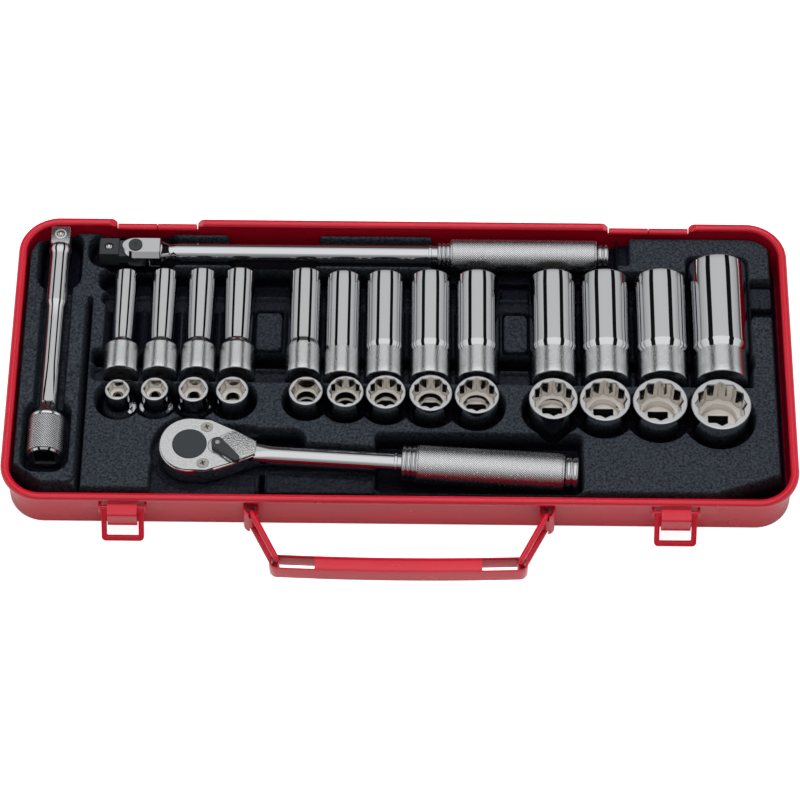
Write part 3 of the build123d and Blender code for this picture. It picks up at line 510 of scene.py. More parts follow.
def black_plastic():
    """Grained vacuum-formed plastic: speckled leather cells, with painted shade that darkens the
    colour to blue-black down in the pockets.
    """
    material, nodes, links, shader = new_finish("grained_plastic", (0.02, 0.024, 0.03), 0.0, 0.5)
    shader.inputs["Specular IOR Level"].default_value = 0.18
    place = object_coordinates(nodes)
    split = nodes.new("ShaderNodeSeparateXYZ")
    links.new(place, split.inputs["Vector"])
    # painted shade: from 17 mm down to 10 mm the colour runs from the land tone to a near-black pocket
    # tone
    depth = nodes.new("ShaderNodeMapRange")
    depth.inputs["From Min"].default_value = 0.0100
    depth.inputs["From Max"].default_value = 0.0170
    links.new(split.outputs["Z"], depth.inputs["Value"])
    grain = mottled(nodes, links, place, Scale=850.0)
    raised = two_tone(nodes, links, grain, (0.006, 0.008, 0.012),
                      (0.044, 0.054, 0.066))
    sunk = two_tone(nodes, links, grain, (0.0006, 0.0006, 0.003),
                    (0.003, 0.003, 0.009))
    tone = nodes.new("ShaderNodeMix")
    tone.data_type = "RGBA"
    links.new(depth.outputs["Result"], tone.inputs["Factor"])
    links.new(sunk, tone.inputs["A"])
    links.new(raised, tone.inputs["B"])
    links.new(tone.outputs["Result"], shader.inputs["Base Color"])
    raise_bump(nodes, links, shader, grain, 0.0004, 0.7)
    gloss = mottled(nodes, links, place, Scale=700.0, Low=0.42, High=0.62)
    links.new(gloss, shader.inputs["Roughness"])
    return material


grained = black_plastic()


def make_tray():
    """A square net over each of five stretches of the tray, lifted by tray_height, on a flat foot.

    Net points past a rounded corner are drawn in along the diagonal, onto the arc.
    """
    cuts = np.array([-tray_length / 2, -103.0, -52.0, 21.0, 92.0, tray_length / 2])
    rows = 420
    for number, (x0, x1) in enumerate(zip(cuts[:-1], cuts[1:])):
        columns = int(round((x1 - x0) / tray_depth * rows))
        xs, ys = np.linspace(x0, x1, columns), np.linspace(-tray_depth / 2, tray_depth / 2, rows)
        x, y = np.meshgrid(xs, ys, indexing="ij")
        height = tray_height(x, y)
        corner = tray_edge(x, y)
        shrink = np.clip(corner, 0, None) * 0.7072
        px, py = x - np.sign(x) * shrink, y - np.sign(y) * shrink
        top = np.stack([px, py, height], axis=-1)
        index = np.arange(columns * rows).reshape(columns, rows)
        quads = np.stack([index[:-1, :-1], index[1:, :-1], index[1:, 1:], index[:-1, 1:]],
                         axis=-1).reshape(-1, 4)
        border = np.concatenate([index[:, 0], index[-1, 1:], index[-2::-1, -1], index[0, -2:0:-1]])
        points = top.reshape(-1, 3)
        foot = points[border].copy()
        foot[:, 2] = 1.0
        low = np.arange(len(border)) + len(points)
        skirt = np.stack([low, np.roll(low, -1), np.roll(border, -1), border], axis=-1)
        skin = (np.concatenate([points, foot]), np.concatenate([quads, skirt]), [low[::-1]],
                np.zeros(len(quads) + len(skirt) + 1, int))
        name = f"tray_insert_part_{number + 1}"
        stands = ["tray_insert"] if number == 0 else []
        finished(name, [skin], [grained], "case", stands, crease=80.0)


make_tray()


# ---------------------------------------------------------------- sockets
# Chrome-vanadium sockets, cold-formed, broached with six or twelve points at the nose and
# a square at the drive end, then nickel-chrome plated. The nose is polished bright and the
# drive band is left satin; the broached bore keeps a warmer, duller plating.
def bright_chrome():
    """Polished plating: mirror gloss with faint haze and very fine polishing lines."""
    material, nodes, links, shader = new_finish("bright_chrome", (0.68, 0.69, 0.71), 1.0, 0.03)
    place = object_coordinates(nodes)
    haze = mottled(nodes, links, place, Scale=90.0, Low=0.02, High=0.05)
    links.new(haze, shader.inputs["Roughness"])
    wave = mottled(nodes, links, place, Scale=60.0)
    raise_bump(nodes, links, shader, wave, 0.00002, 0.2)
    return material


def satin_chrome():
    """Plating over a tumbled surface: soft, fine-grained, a little uneven."""
    material, nodes, links, shader = new_finish("satin_chrome", (0.76, 0.77, 0.78), 1.0, 0.24)
    place = object_coordinates(nodes)
    grain = mottled(nodes, links, place, Scale=2600.0, Low=0.17, High=0.28)
    links.new(grain, shader.inputs["Roughness"])
    fleck = mottled(nodes, links, place, Scale=1900.0)
    tone = two_tone(nodes, links, fleck, (0.68, 0.69, 0.705), (0.84, 0.85, 0.86))
    links.new(tone, shader.inputs["Base Color"])
    raise_bump(nodes, links, shader, fleck, 0.00008, 0.4)
    return material


def warm_bore():
    """The bore: bare broached steel under thin plating, warm and dull."""
    material, nodes, links, shader = new_finish("bore_plating", (0.84, 0.79, 0.73), 0.35, 0.40)
    place = object_coordinates(nodes)
    marks = mottled(nodes, links, place, Scale=420.0, Low=0.36, High=0.5)
    links.new(marks, shader.inputs["Roughness"])
    raise_bump(nodes, links, shader, marks, 0.0003, 0.3)
    return material


def broached_wall():
    """The flats of the mouth: plating drawn by the broach, half bright, faintly warm."""
    material, nodes, links, shader = new_finish("broached_wall", (0.62, 0.60, 0.57), 1.0, 0.20)
    place = object_coordinates(nodes)
    drawn = mottled(nodes, links, place, Scale=500.0, Low=0.08, High=0.18)
    links.new(drawn, shader.inputs["Roughness"])
    return material


chrome, satin, bore, wall = bright_chrome(), satin_chrome(), warm_bore(), broached_wall()


def broach_radius(turn, across, points):
    """Distance to a hexagon's flats by angle; twelve points take the farther of two hexagons."""
    flat = across / 2
    one = flat / np.cos(np.mod(turn, np.pi / 3) - np.pi / 6)
    two = flat / np.cos(np.mod(turn + np.pi / 6, np.pi / 3) - np.pi / 6)
    return one if points == 6 else np.maximum(one, two)


def square_radius(turn, across):
    """Distance to a square's sides by angle, with its flats across X and Y."""
    return across / 2 / np.maximum(np.abs(np.cos(turn)), np.abs(np.sin(turn)))


def socket_rings(size, nose, drive, points, length, band, waist):
    """Rings round Z from the drive end up the outside, over the lip and down the bore.

    Each ring is a radius by angle and a height; the flare is half a cosine wave, and the
    barrel widens evenly from the waist to the nose.
    """
    turn = np.linspace(0, 2 * np.pi, 145)[:-1]
    one = np.ones_like(turn)
    rows = []

    def ring(radius, height, zone):
        rows.append((radius * one, height * one, zone))

    nose_radius, drive_radius, lip = nose / 2, drive / 2, 0.55
    slim = nose_radius * waist
    ring(drive_radius - 0.9, 0.0, 1)
    for a in np.linspace(0, np.pi / 2, 5)[1:]:
        ring(drive_radius - 0.9 + 0.9 * np.sin(a), 0.9 - 0.9 * np.cos(a), 1)
    for t in (0.25, 0.5, 0.75, 0.96):
        ring(drive_radius, band * t, 1)
    for t in np.linspace(0, 1, 14):
        ring(drive_radius + (slim - drive_radius) * (0.5 - 0.5 * np.cos(np.pi * t)),
             band + 4.0 * t, 0)
    for t in (0.15, 0.5, 0.85):
        ring(slim + (nose_radius - slim) * t, band + 4.0 + (length - lip - band - 4.0) * t, 0)
    for a in np.linspace(0, np.pi / 2, 7):
        ring(nose_radius - lip + lip * np.cos(a), length - lip + lip * np.sin(a), 0)
    star = np.minimum(broach_radius(turn, size + 0.15, points), nose_radius - lip - 0.45)
    rows.append((np.minimum(star + 0.35, nose_radius - lip - 0.05), (length - 0.02) * one, 2))
    rows.append((star, (length - 0.45) * one, 2))
    depth = 0.62 * size + 0.9
    rows.append((star, (length - depth * 0.5) * one, 2))
    rows.append((star, (length - depth * 0.97) * one, 3))
    relief = (size + 0.15) / 2 * (0.64 if size < 12 else 0.83)
    rows.append((star - 0.25, (length - depth) * one, 3))
    ring(relief + 0.2, length - depth - 0.15, 3)
    ring(relief, length - depth - 0.4, 2)
    floor = min(10.5, length - depth - 1.5)
    ring(relief, floor + 0.5, 3)
    ring(relief - 0.5, floor, 3)
    square = square_radius(turn, 9.75)
    hole = np.minimum(square, relief - 0.6)
    # zone 4, the square hole, takes the near-black painted shade
    rows.append((hole, (floor - 0.02) * one, 4))
    rows.append((hole, 0.5 * one, 4))
    rows.append((square, 0.5 * one, 4))
    rows.append((np.minimum(square + 0.4, drive_radius - 1.0), 0.0 * one, 1))
    radius = np.stack([r[0] for r in rows])
    height = np.stack([r[1] for r in rows])
    rings = np.stack([radius * np.cos(turn), radius * np.sin(turn), height], axis=-1)
    return rings, np.array([r[2] for r in rows])


def hole_painted_shade():
    """The square hole's walls: near black, as painted shade."""
    material, nodes, links, shader = new_finish("hole_painted_shade", (0.05, 0.045, 0.045), 0.5, 0.45)
    place = object_coordinates(nodes)
    scale = mottled(nodes, links, place, Scale=600.0, Low=0.35, High=0.6)
    links.new(scale, shader.inputs["Roughness"])
    return material


# painted shade: a near-black finish for the square holes, which only ever sit in shade
shadow = hole_painted_shade()
standing_band, lying_band, slim_waist, wide_waist = 10.0, 15.0, 0.9, 0.985


def make_socket(body, name, rings, zones):
    """One closed skin up the outside and down the bore, with a finish for each zone."""
    finished(name, [skin_rings(rings, loop=True, zones=zones)], [chrome, satin, wall, bore, shadow],
             body, [body], crease=24.0)


for size, nose, drive, points in socket_rows:
    body = f"socket_{size:02d}mm"
    low, high = box_mm(body)
    rings, zones = socket_rings(size, nose, drive, points, high[2] - low[2], standing_band, 1.0)
    rings = rings + np.array([(low[0] + high[0]) / 2, (low[1] + high[1]) / 2, low[2]])
    make_socket(body, f"standing_{body}", rings, zones)
    body = f"deep_socket_{size:02d}mm"
    low, high = box_mm(body)
    waist = slim_waist if size < 12 else wide_waist
    rings, zones = socket_rings(size, nose, drive, points, high[1] - low[1], lying_band, waist)
    rings = np.stack([rings[..., 0] + (low[0] + high[0]) / 2, rings[..., 2] + low[1],
                      deep_axis - rings[..., 1]], axis=-1)
    make_socket(body, f"lying_{body}", rings, zones)


# ---------------------------------------------------------------- latches
# Two draw latches on the front wall. Each has a spot-welded bracket with two ears, a
# steel pin, a stamped window-framed lever and a folded claw, all painted with the pan.
def bevelled_copy(name, node, width, material, body, crease=30.0):
    """A merged copy of a CAD node, its flats joined up and its edges given a small bevel."""
    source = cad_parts[node]
    mesh = source.data.copy()
    mesh.name = name
    work = bmesh.new()
    work.from_mesh(mesh)
    bmesh.ops.remove_doubles(work, verts=work.verts, dist=1e-6)
    bmesh.ops.dissolve_limit(work, angle_limit=radians(0.6), verts=work.verts, edges=work.edges)
    work.to_mesh(mesh)
    work.free()
    mesh.materials.clear()
    mesh.materials.append(material)
    if "custom_normal" in mesh.attributes:
        mesh.attributes.remove(mesh.attributes["custom_normal"])
    mesh.polygons.foreach_set("use_smooth", np.ones(len(mesh.polygons), bool))
    mesh.set_sharp_from_angle(angle=radians(crease))
    piece = bpy.data.objects.new(name, mesh)
    bpy.context.scene.collection.objects.link(piece)
    bevel = piece.modifiers.new("eased_edges", "BEVEL")
    bevel.width = width * 0.001
    bevel.segments = 2
    bevel.limit_method = "ANGLE"
    bevel.angle_limit = radians(crease)
    bevel.harden_normals = True
    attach(piece, body)
    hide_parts(node)
    return piece


bevelled_copy("latch_brackets_pressed", "latch_brackets", 0.25, enamel, "case")
bevelled_copy("latch_pins_painted", "latch_pins", 0.2, enamel, "case")


def outline_normals(outline):
    """Outward normals of an anticlockwise (n, 2) outline, along the bisectors at its points."""
    along = np.roll(outline, -1, axis=0) - np.roll(outline, 1, axis=0)
    along /= np.linalg.norm(along, axis=1)[:, None]
    return np.column_stack([along[:, 1], -along[:, 0]])


def eased_levels(thickness, ease):
    """(inset, level) of quarter-round edges on a plate's two faces, from one face to the other."""
    turn = np.linspace(0, np.pi / 2, 4)
    inset = np.concatenate([ease * (1 - np.sin(turn)), ease * (1 - np.cos(turn))])
    level = np.concatenate([ease * (1 - np.cos(turn)), thickness - ease * (1 - np.sin(turn))])
    return inset, level


def plate_skin(outline, thickness, place, ease=0.35):
    """A flat plate of an (n, 2) outline: rings inset by the edge's rounding on both faces.

    Each point's inset is along the bisector of its two edges; place maps (u, v, w) to points.
    """
    after = np.roll(outline, -1, axis=0)
    area = np.sum(outline[:, 0] * after[:, 1] - after[:, 0] * outline[:, 1])
    outward = outline_normals(outline) * np.sign(area)
    inset, level = eased_levels(thickness, ease)
    flat = outline[None] - inset[:, None, None] * outward[None]
    w = np.repeat(level[:, None], len(outline), axis=1)
    return skin_rings(place(flat[..., 0], flat[..., 1], w))


def round_rectangle(half_x, half_y, corner, count=8):
    """Outline points of a rounded rectangle about the origin, anticlockwise."""
    quarter = np.linspace(0, np.pi / 2, count)
    spots = []
    for index, (sx, sy) in enumerate(((1, 1), (-1, 1), (-1, -1), (1, -1))):
        turn = quarter + index * np.pi / 2
        spots.append(np.column_stack([sx * (half_x - corner) + corner * np.cos(turn),
                                      sy * (half_y - corner) + corner * np.sin(turn)]))
    return np.concatenate(spots)


def frame_skin(outer, inner, thickness, place, ease=0.3):
    """A flat ring between two outlines of equal count, with rounded edges, as one closed loop."""
    shrink, level = eased_levels(thickness, ease)
    wide = np.abs(outer).max(axis=0)
    slim = np.abs(inner).max(axis=0)
    out = outer[None] * (1 - shrink[:, None, None] / wide)
    hole = inner[None] * (1 + shrink[::-1, None, None] / slim)
    flat = np.concatenate([out, hole])
    w = np.repeat(np.concatenate([level, level[::-1]])[:, None], len(outer), axis=1)
    return skin_rings(place(flat[..., 0], flat[..., 1], w), loop=True)


latch_offset, latch_pin_y, latch_pin_z, latch_lean = 130.3, -82.3, 20.2, 37.7


def make_latch_lever(side, label):
    """The window frame hangs from the pin and leans out."""
    lean = radians(latch_lean)
    cx = side * latch_offset

    def place(u, v, w):
        down, out = 8.4 - v, w - 1.0
        return np.stack([cx + u,
                         latch_pin_y - down * np.sin(lean) - out * np.cos(lean),
                         latch_pin_z - down * np.cos(lean) + out * np.sin(lean)], axis=-1)

    outer = round_rectangle(10.0, 8.4, 2.0)
    inner = round_rectangle(7.5, 6.2, 0.7)
    inner[:, 1] += 0.3
    skins = [frame_skin(outer, inner, 2.0, place)]
    return finished(f"latch_lever_{label}_frame", skins, [enamel], f"latch_lever_{label}",
                    [f"latch_lever_{label}"])


def make_latch_claw(side, label):
    """A folded plate: its section bends down at the front, and its edges turn down as cheeks."""
    cx = side * latch_offset
    top, rear, front, lip = 22.5, latch_pin_y + 0.9, latch_pin_y - 5.9, 13.6
    bend = np.radians(np.linspace(90, 180, 7))
    outer = np.concatenate([[[rear, top]], np.column_stack([front + 1.6 + 1.6 * np.cos(bend),
                                                            top - 1.6 + 1.6 * np.sin(bend)]),
                            [[front, lip]]])
    inner = np.concatenate([[[front + 0.9, lip]],
                            np.column_stack([front + 1.6 + 0.7 * np.cos(bend),
                                             top - 1.6 + 0.7 * np.sin(bend)])[::-1],
                            [[rear, top - 0.9]]])
    section = np.concatenate([outer, inner])
    stations = np.array([-7.0, -6.9, -6.6, 6.6, 6.9, 7.0])
    rings = np.stack([np.stack([np.full(len(section), cx + s), *section.T], axis=-1)
                      for s in stations])
    skins = [skin_rings(rings)]
    for end in (-1, 1):
        cheek = np.array([(front + 0.2, lip + 1.2), (front + 0.2, top - 1.2), (front + 1.4, top - 0.3),
                          (latch_pin_y - 1.6, top - 0.3), (latch_pin_y - 1.4, latch_pin_z - 3.9),
                          (latch_pin_y - 2.6, latch_pin_z - 5.0)])

        def place(u, v, w):
            return np.stack([cx + end * (7.02 - w), u, v], axis=-1)
        skins.append(plate_skin(cheek, 0.9, place, 0.2))
    return finished(f"latch_claw_{label}_folded", skins, [enamel], f"latch_claw_{label}",
                    [f"latch_claw_{label}"], crease=40.0)


for label, side in (("left", -1), ("right", 1)):
    make_latch_lever(side, label)
    make_latch_claw(side, label)


# ---------------------------------------------------------------- carrying handle
# Two belt-loop straps welded to the wall hold two links of bent wire, and a folded channel
# of sheet steel is the grip; its rolled top is cut away at both ends over the links.
bevelled_copy("handle_straps", "handle_brackets", 0.3, enamel, "case")


def tube_skin(path, radius, up, around=20):
    """A round bar along a closed flat path: circles square to it, by its tangent and up."""
    ahead = np.roll(path, -1, axis=0) - np.roll(path, 1, axis=0)
    ahead /= np.linalg.norm(ahead, axis=1)[:, None]
    side = np.cross(ahead, up)
    turn = np.linspace(0, 2 * np.pi, around + 1)[:-1]
    rings = (path[:, None] + radius * (side[:, None] * np.cos(turn)[None, :, None]
                                       + np.asarray(up)[None, None] * np.sin(turn)[None, :, None]))
    return skin_rings(rings, loop=True)


strap_x, strap_y = 70.0, -82.9
link_run_x, link_run_y, link_low, link_high, wire_radius = 13.0, 25.8, 6.8, 19.2, 1.4


def make_link(side, label):
    """Wire bent into a rounded rectangle that stands on edge from the strap to the grip."""
    reach = np.hypot(link_run_x, link_run_y)
    outline = round_rectangle(reach / 2, (link_high - link_low) / 2, 2.2, 9) + [reach / 2, 0]
    ahead = np.array([-side * link_run_x, -link_run_y, 0.0]) / reach
    up = np.cross([0, 0, 1.0], ahead)
    base = np.array([side * strap_x, strap_y, (link_low + link_high) / 2])
    path = base + outline[:, :1] * ahead + outline[:, 1:] * np.array([0, 0, 1.0])
    return finished(f"handle_link_{label}_wire", [tube_skin(path, wire_radius, up)], [enamel],
                    f"handle_link_{label}", [f"handle_link_{label}"])


make_link(-1, "left")
make_link(1, "right")


def make_grip():
    """Channel wall carried round a long oval that bows forwards, and the rolled top between."""
    centre = middle("handle_grip")
    half, deep, low, high, skin = 60.6, 3.8, 8.6, 17.4, 0.8

    def bow(x):
        return -1.3 * (1 - (x / half) ** 2) + 0.9

    quarter = np.linspace(-np.pi / 2, np.pi / 2, 13)
    run = np.linspace(-half + deep, half - deep, 41)
    outline = np.concatenate([
        np.column_stack([half - deep + deep * np.cos(quarter), deep * np.sin(quarter)]),
        np.column_stack([run[::-1][1:-1], np.full(39, deep)]),
        np.column_stack([-half + deep - deep * np.cos(quarter), -deep * np.sin(quarter)]),
        np.column_stack([run[1:-1], np.full(39, -deep)])])
    outward = outline_normals(outline)
    turn = np.linspace(0, np.pi, 6)
    edge = skin / 2
    section = np.concatenate([
        np.column_stack([edge * (np.cos(turn) - 1), high + edge * (np.sin(turn) - 1)]),
        np.column_stack([-edge * (1 + np.cos(turn)), low + edge * (1 - np.sin(turn))])])
    flat = outline[None] + section[:, None, :1] * outward[None]
    x, y = flat[..., 0], flat[..., 1]
    z = np.repeat(section[:, 1:], len(outline), axis=1)
    walls = skin_rings(np.stack([x + centre[0], y + centre[1] + bow(x), z], axis=-1), loop=True)
    stations = np.concatenate([[-39.2, -39.1, -38.9], np.linspace(-36, 36, 31), [38.9, 39.1, 39.2]])
    roll = np.radians(np.linspace(180, 0, 25))
    outer = np.column_stack([(deep + 0.12) * np.sign(np.cos(roll)) * np.abs(np.cos(roll)) ** 0.55,
                             high - 2.4 + 2.55 * np.sin(roll) ** 0.62])
    inner = np.column_stack([(deep - skin) * np.sign(np.cos(roll)) * np.abs(np.cos(roll)) ** 0.55,
                             high - 2.4 + (2.5 - skin) * np.sin(roll) ** 0.62])[::-1]
    hood = np.concatenate([outer, inner])
    rings = np.stack([np.stack([np.full(len(hood), centre[0] + s), centre[1] + hood[:, 0] + bow(s),
                                hood[:, 1]], axis=-1) for s in stations])
    return finished("handle_grip_channel", [walls, skin_rings(rings)], [enamel], "handle_grip",
                    ["handle_grip"], crease=45.0)


make_grip()


# ---------------------------------------------------------------- extension bar
# Turned and forged bar: a drive square with a sprung ball, a collar, a thicker neck, the
# shank, and a knurled socket end. Plated and polished bright; the square is satin.
def turned_skin(profile, place, around=96, zones=None):
    """A profile of (radius, along) rows turned about an axis; place maps (a, b, along)."""
    turn = np.linspace(0, 2 * np.pi, around + 1)[:-1]
    a = profile[:, :1] * np.cos(turn)
    b = profile[:, :1] * np.sin(turn)
    s = np.repeat(profile[:, 1:], around, axis=1)
    return skin_rings(place(a, b, s), zones=zones)


def square_skin(half, start, end, place, bevel=0.8, corner=0.7):
    """A square bar along the axis with eased corners, its first end bevelled."""
    outline = round_rectangle(half, half, corner, 5)
    scale = np.array([1 - bevel / half * 0.999, 1 - 0.25 * bevel / half, 1.0, 1.0])
    along = np.array([start, start + bevel * 0.65, start + bevel, end])
    flat = outline[None] * scale[:, None, None]
    s = np.repeat(along[:, None], len(outline), axis=1)
    return skin_rings(place(flat[..., 0], flat[..., 1], s))


def ball_skin(centre, radius):
    """A sphere by latitude and longitude, with small flats at its poles."""
    tilt = np.linspace(0.02, np.pi - 0.02, 20)
    turn = np.linspace(0, 2 * np.pi, 33)[:-1]
    rings = centre + radius * np.stack([np.sin(tilt)[:, None] * np.cos(turn),
                                        np.sin(tilt)[:, None] * np.sin(turn),
                                        np.repeat(np.cos(tilt)[:, None], 32, axis=1)], axis=-1)
    return skin_rings(rings)


def dimple_skin(x, y, top, outer):
    """A shallow ground ring that the ball sits in: a flat washer just proud of the square."""
    profile = np.array([(outer, -0.5), (outer, 0.02), (outer - 0.15, 0.06),
                        (2.15, 0.06), (2.1, -0.5)])
    turn = np.linspace(0, 2 * np.pi, 49)[:-1]
    rings = np.stack([x + profile[:, :1] * np.cos(turn), y + profile[:, :1] * np.sin(turn),
                      top + np.repeat(profile[:, 1:], 48, axis=1)], axis=-1)
    return skin_rings(rings, loop=True)


def knurl_skin(radius, start, end, place, around, along, samples, depth):
    """Diamond knurling: height is the smaller of two triangle waves that cross on the barrel.

    One wave runs by turn plus length, the other by turn minus length; tops are cut flat.
    """
    turn = np.linspace(0, 2 * np.pi, around * samples + 1)[:-1]
    s = np.linspace(start, end, along * samples + 1)
    u = around * turn[None, :] / (2 * np.pi)
    v = along * (s[:, None] - start) / (end - start)
    waves = [np.abs(np.mod(u + sign * v, 1.0) - 0.5) * 2 for sign in (1, -1)]
    tooth = np.minimum(np.minimum(*waves) * 2.2, 1.0)
    ends = np.clip(np.minimum(s - start, end - s) / 0.5, 0, 1)[:, None]
    r = radius - depth + depth * tooth * ends
    a, b = r * np.cos(turn), r * np.sin(turn)
    return skin_rings(place(a, b, np.repeat(s[:, None], len(turn), axis=1))), (tooth * ends).ravel()


def knurled_chrome():
    """Knurling: bright plated tops, and grooves darkened towards black as painted shade."""
    material, nodes, links, shader = new_finish("knurled_chrome", (0.66, 0.67, 0.69), 1.0, 0.2)
    place = object_coordinates(nodes)
    crest = nodes.new("ShaderNodeAttribute")
    crest.attribute_name = "crest"
    # painted shade: the crest attribute darkens the colour towards black down in the grooves
    tone = two_tone(nodes, links, crest.outputs["Fac"], (0.06, 0.06, 0.07), (0.92, 0.93, 0.95))
    links.new(tone, shader.inputs["Base Color"])
    cloud = mottled(nodes, links, place, Scale=700.0, Low=0.14, High=0.28)
    links.new(cloud, shader.inputs["Roughness"])
    return material


knurled = knurled_chrome()
square_half = 4.75


def make_extension():
    """Everything is turned about one axis that runs from the rear to the front."""
    low, high = box_mm("extension_bar")
    cx, cz, rear = (low[0] + high[0]) / 2, high[2] - 8.75, high[1]
    length = high[1] - low[1]

    def place(a, b, s):
        return np.stack([cx + a, rear - s, cz + b], axis=-1)

    square = square_skin(square_half, 0.0, 10.4, place)
    profile = [(0.05, 9.9), (4.9, 9.9), (5.3, 10.2), (5.75, 11.3), (5.75, 13.6), (5.3, 14.8),
               (5.15, 15.4), (5.2, 18), (5.2, 43.5), (5.1, 44.6), (4.7, 45.9), (4.5, 46.8),
               (4.5, 60), (4.5, 80), (4.5, 102)]
    flare = np.linspace(0, 1, 12)
    profile += [(4.5 + 3.0 * (1 - np.cos(np.pi / 2 * t)), 102 + 7.6 * t) for t in flare]
    profile += [(7.7, 109.7), (8.0, 110.0)]
    bar = turned_skin(np.array(profile), place)
    ring = np.array([(0.05, 109.8), (7.9, 109.8), (8.4, 110.1), (8.6, 110.6), (8.6, 111.9),
                     (8.3, 112.2), (0.05, 112.2)])
    collar = turned_skin(ring, place)
    knurl, crest = knurl_skin(8.75, 112.0, 131.0, place, 44, 15, 6, 0.22)
    around = np.linspace(0, 2 * np.pi, 121)[:-1]
    one = np.ones_like(around)
    hole = square_radius(around, 2 * square_half + 0.25)
    # the rows in zone 1, the socket end's square hole, take the near-black painted shade
    rows = [(8.3 * one, 130.8, 0), (8.3 * one, 131.2, 0), (7.6 * one, length, 0),
            (np.minimum(hole + 0.5, 7.4), length, 1), (hole, length - 0.5, 1),
            (hole, length - 9.0, 1), (hole * 0.5, length - 10.0, 1), (0.05 * one, length - 10.0, 1)]
    radius = np.stack([r[0] for r in rows])
    s = np.stack([np.full_like(around, r[1]) for r in rows])
    nose = skin_rings(place(radius * np.cos(around), radius * np.sin(around), s),
                      zones=np.array([r[2] for r in rows[:-1]]))
    top = cz + square_half
    ball_y = rear - 4.95
    finished("extension_bar_turned", [bar], [chrome], "extension",
             ["extension_bar"], crease=35.0)
    finished("extension_socket_end", [nose], [chrome, shadow], "extension",
             crease=35.0)
    finished("extension_square", [square, dimple_skin(cx, ball_y, top, 2.9)], [satin],
             "extension", crease=40.0)
    finished("extension_knurling", [collar, knurl], [knurled], "extension",
             crease=60.0, crests=[np.full(len(collar[0]), 0.9), crest])
    centre = np.array([cx, ball_y, top + 0.9 - 2.0])
    finished("extension_sprung_ball", [ball_skin(centre, 2.0)], [chrome], "extension_ball",
             ["extension_ball"])


make_extension()


# ---------------------------------------------------------------- hinge handle
# A drive head swivels in the fork of a long bar. Bar and fork are forged in one and
# chromed, the head and its riveted pin are black phosphated, and the grip is a sleeve.
def black_phosphate():
    """Phosphated steel: charcoal, matt, with a fine crystalline bloom."""
    material, nodes, links, shader = new_finish("black_phosphate", (0.035, 0.04, 0.045), 0.3, 0.5)
    place = object_coordinates(nodes)
    bloom = mottled(nodes, links, place, Scale=2200.0)
    tone = two_tone(nodes, links, bloom, (0.026, 0.03, 0.034),
                    (0.055, 0.062, 0.068))
    links.new(tone, shader.inputs["Base Color"])
    gloss = mottled(nodes, links, place, Scale=1500.0, Low=0.38, High=0.6)
    links.new(gloss, shader.inputs["Roughness"])
    raise_bump(nodes, links, shader, bloom, 0.0001, 0.4)
    return material


phosphate = black_phosphate()


def make_ringed(radius, start, end, rings):
    """Half-round rings side by side along the axis, as (radius, along) rows."""
    pitch = (end - start) / rings
    rows = [(0.05, start), (radius - 1.0, start)]
    for index in range(rings):
        t = np.linspace(0.0, 1.0, 9)
        rows += [(radius - 0.75 + 0.75 * np.sin(np.pi * v) ** 0.55, start + pitch * (index + v))
                 for v in t]
    return np.array(rows + [(radius - 1.0, end), (0.05, end)])


def make_sleeve(name, node, body, place, start, end, radius, collar_radius, collar):
    """The grip: ringed collar, knurled barrel with a plain edge each end, ringed end collar."""
    skins = [turned_skin(make_ringed(collar_radius, start - 0.4, start + collar, 3), place)]
    rear = make_ringed(collar_radius - 0.5, end - collar + 0.4, end, 2)
    rear[-2, 0] = collar_radius - 1.6
    skins.append(turned_skin(rear, place))
    finished(f"{name}_collars", skins, [chrome], body, crease=50.0)
    edge = [(0.05, start + collar), (radius - 0.6, start + collar),
            (radius - 0.1, start + collar + 0.35), (radius - 0.1, start + collar + 0.8),
            (radius - 0.5, start + collar + 0.9), (0.05, start + collar + 0.9)]
    near = turned_skin(np.array(edge), place)
    far = turned_skin(np.array([(r, start + end - s) for r, s in edge]), place)
    knurl, crest = knurl_skin(radius, start + collar + 0.7, end - collar - 0.7, place,
                              round(5.6 * radius), 58, 5, 0.26)
    plain = [np.full(len(skin[0]), 0.9) for skin in (near, far)]
    finished(f"{name}_knurling", [near, far, knurl], [knurled], body, [node],
             crease=60.0, crests=[*plain, crest])


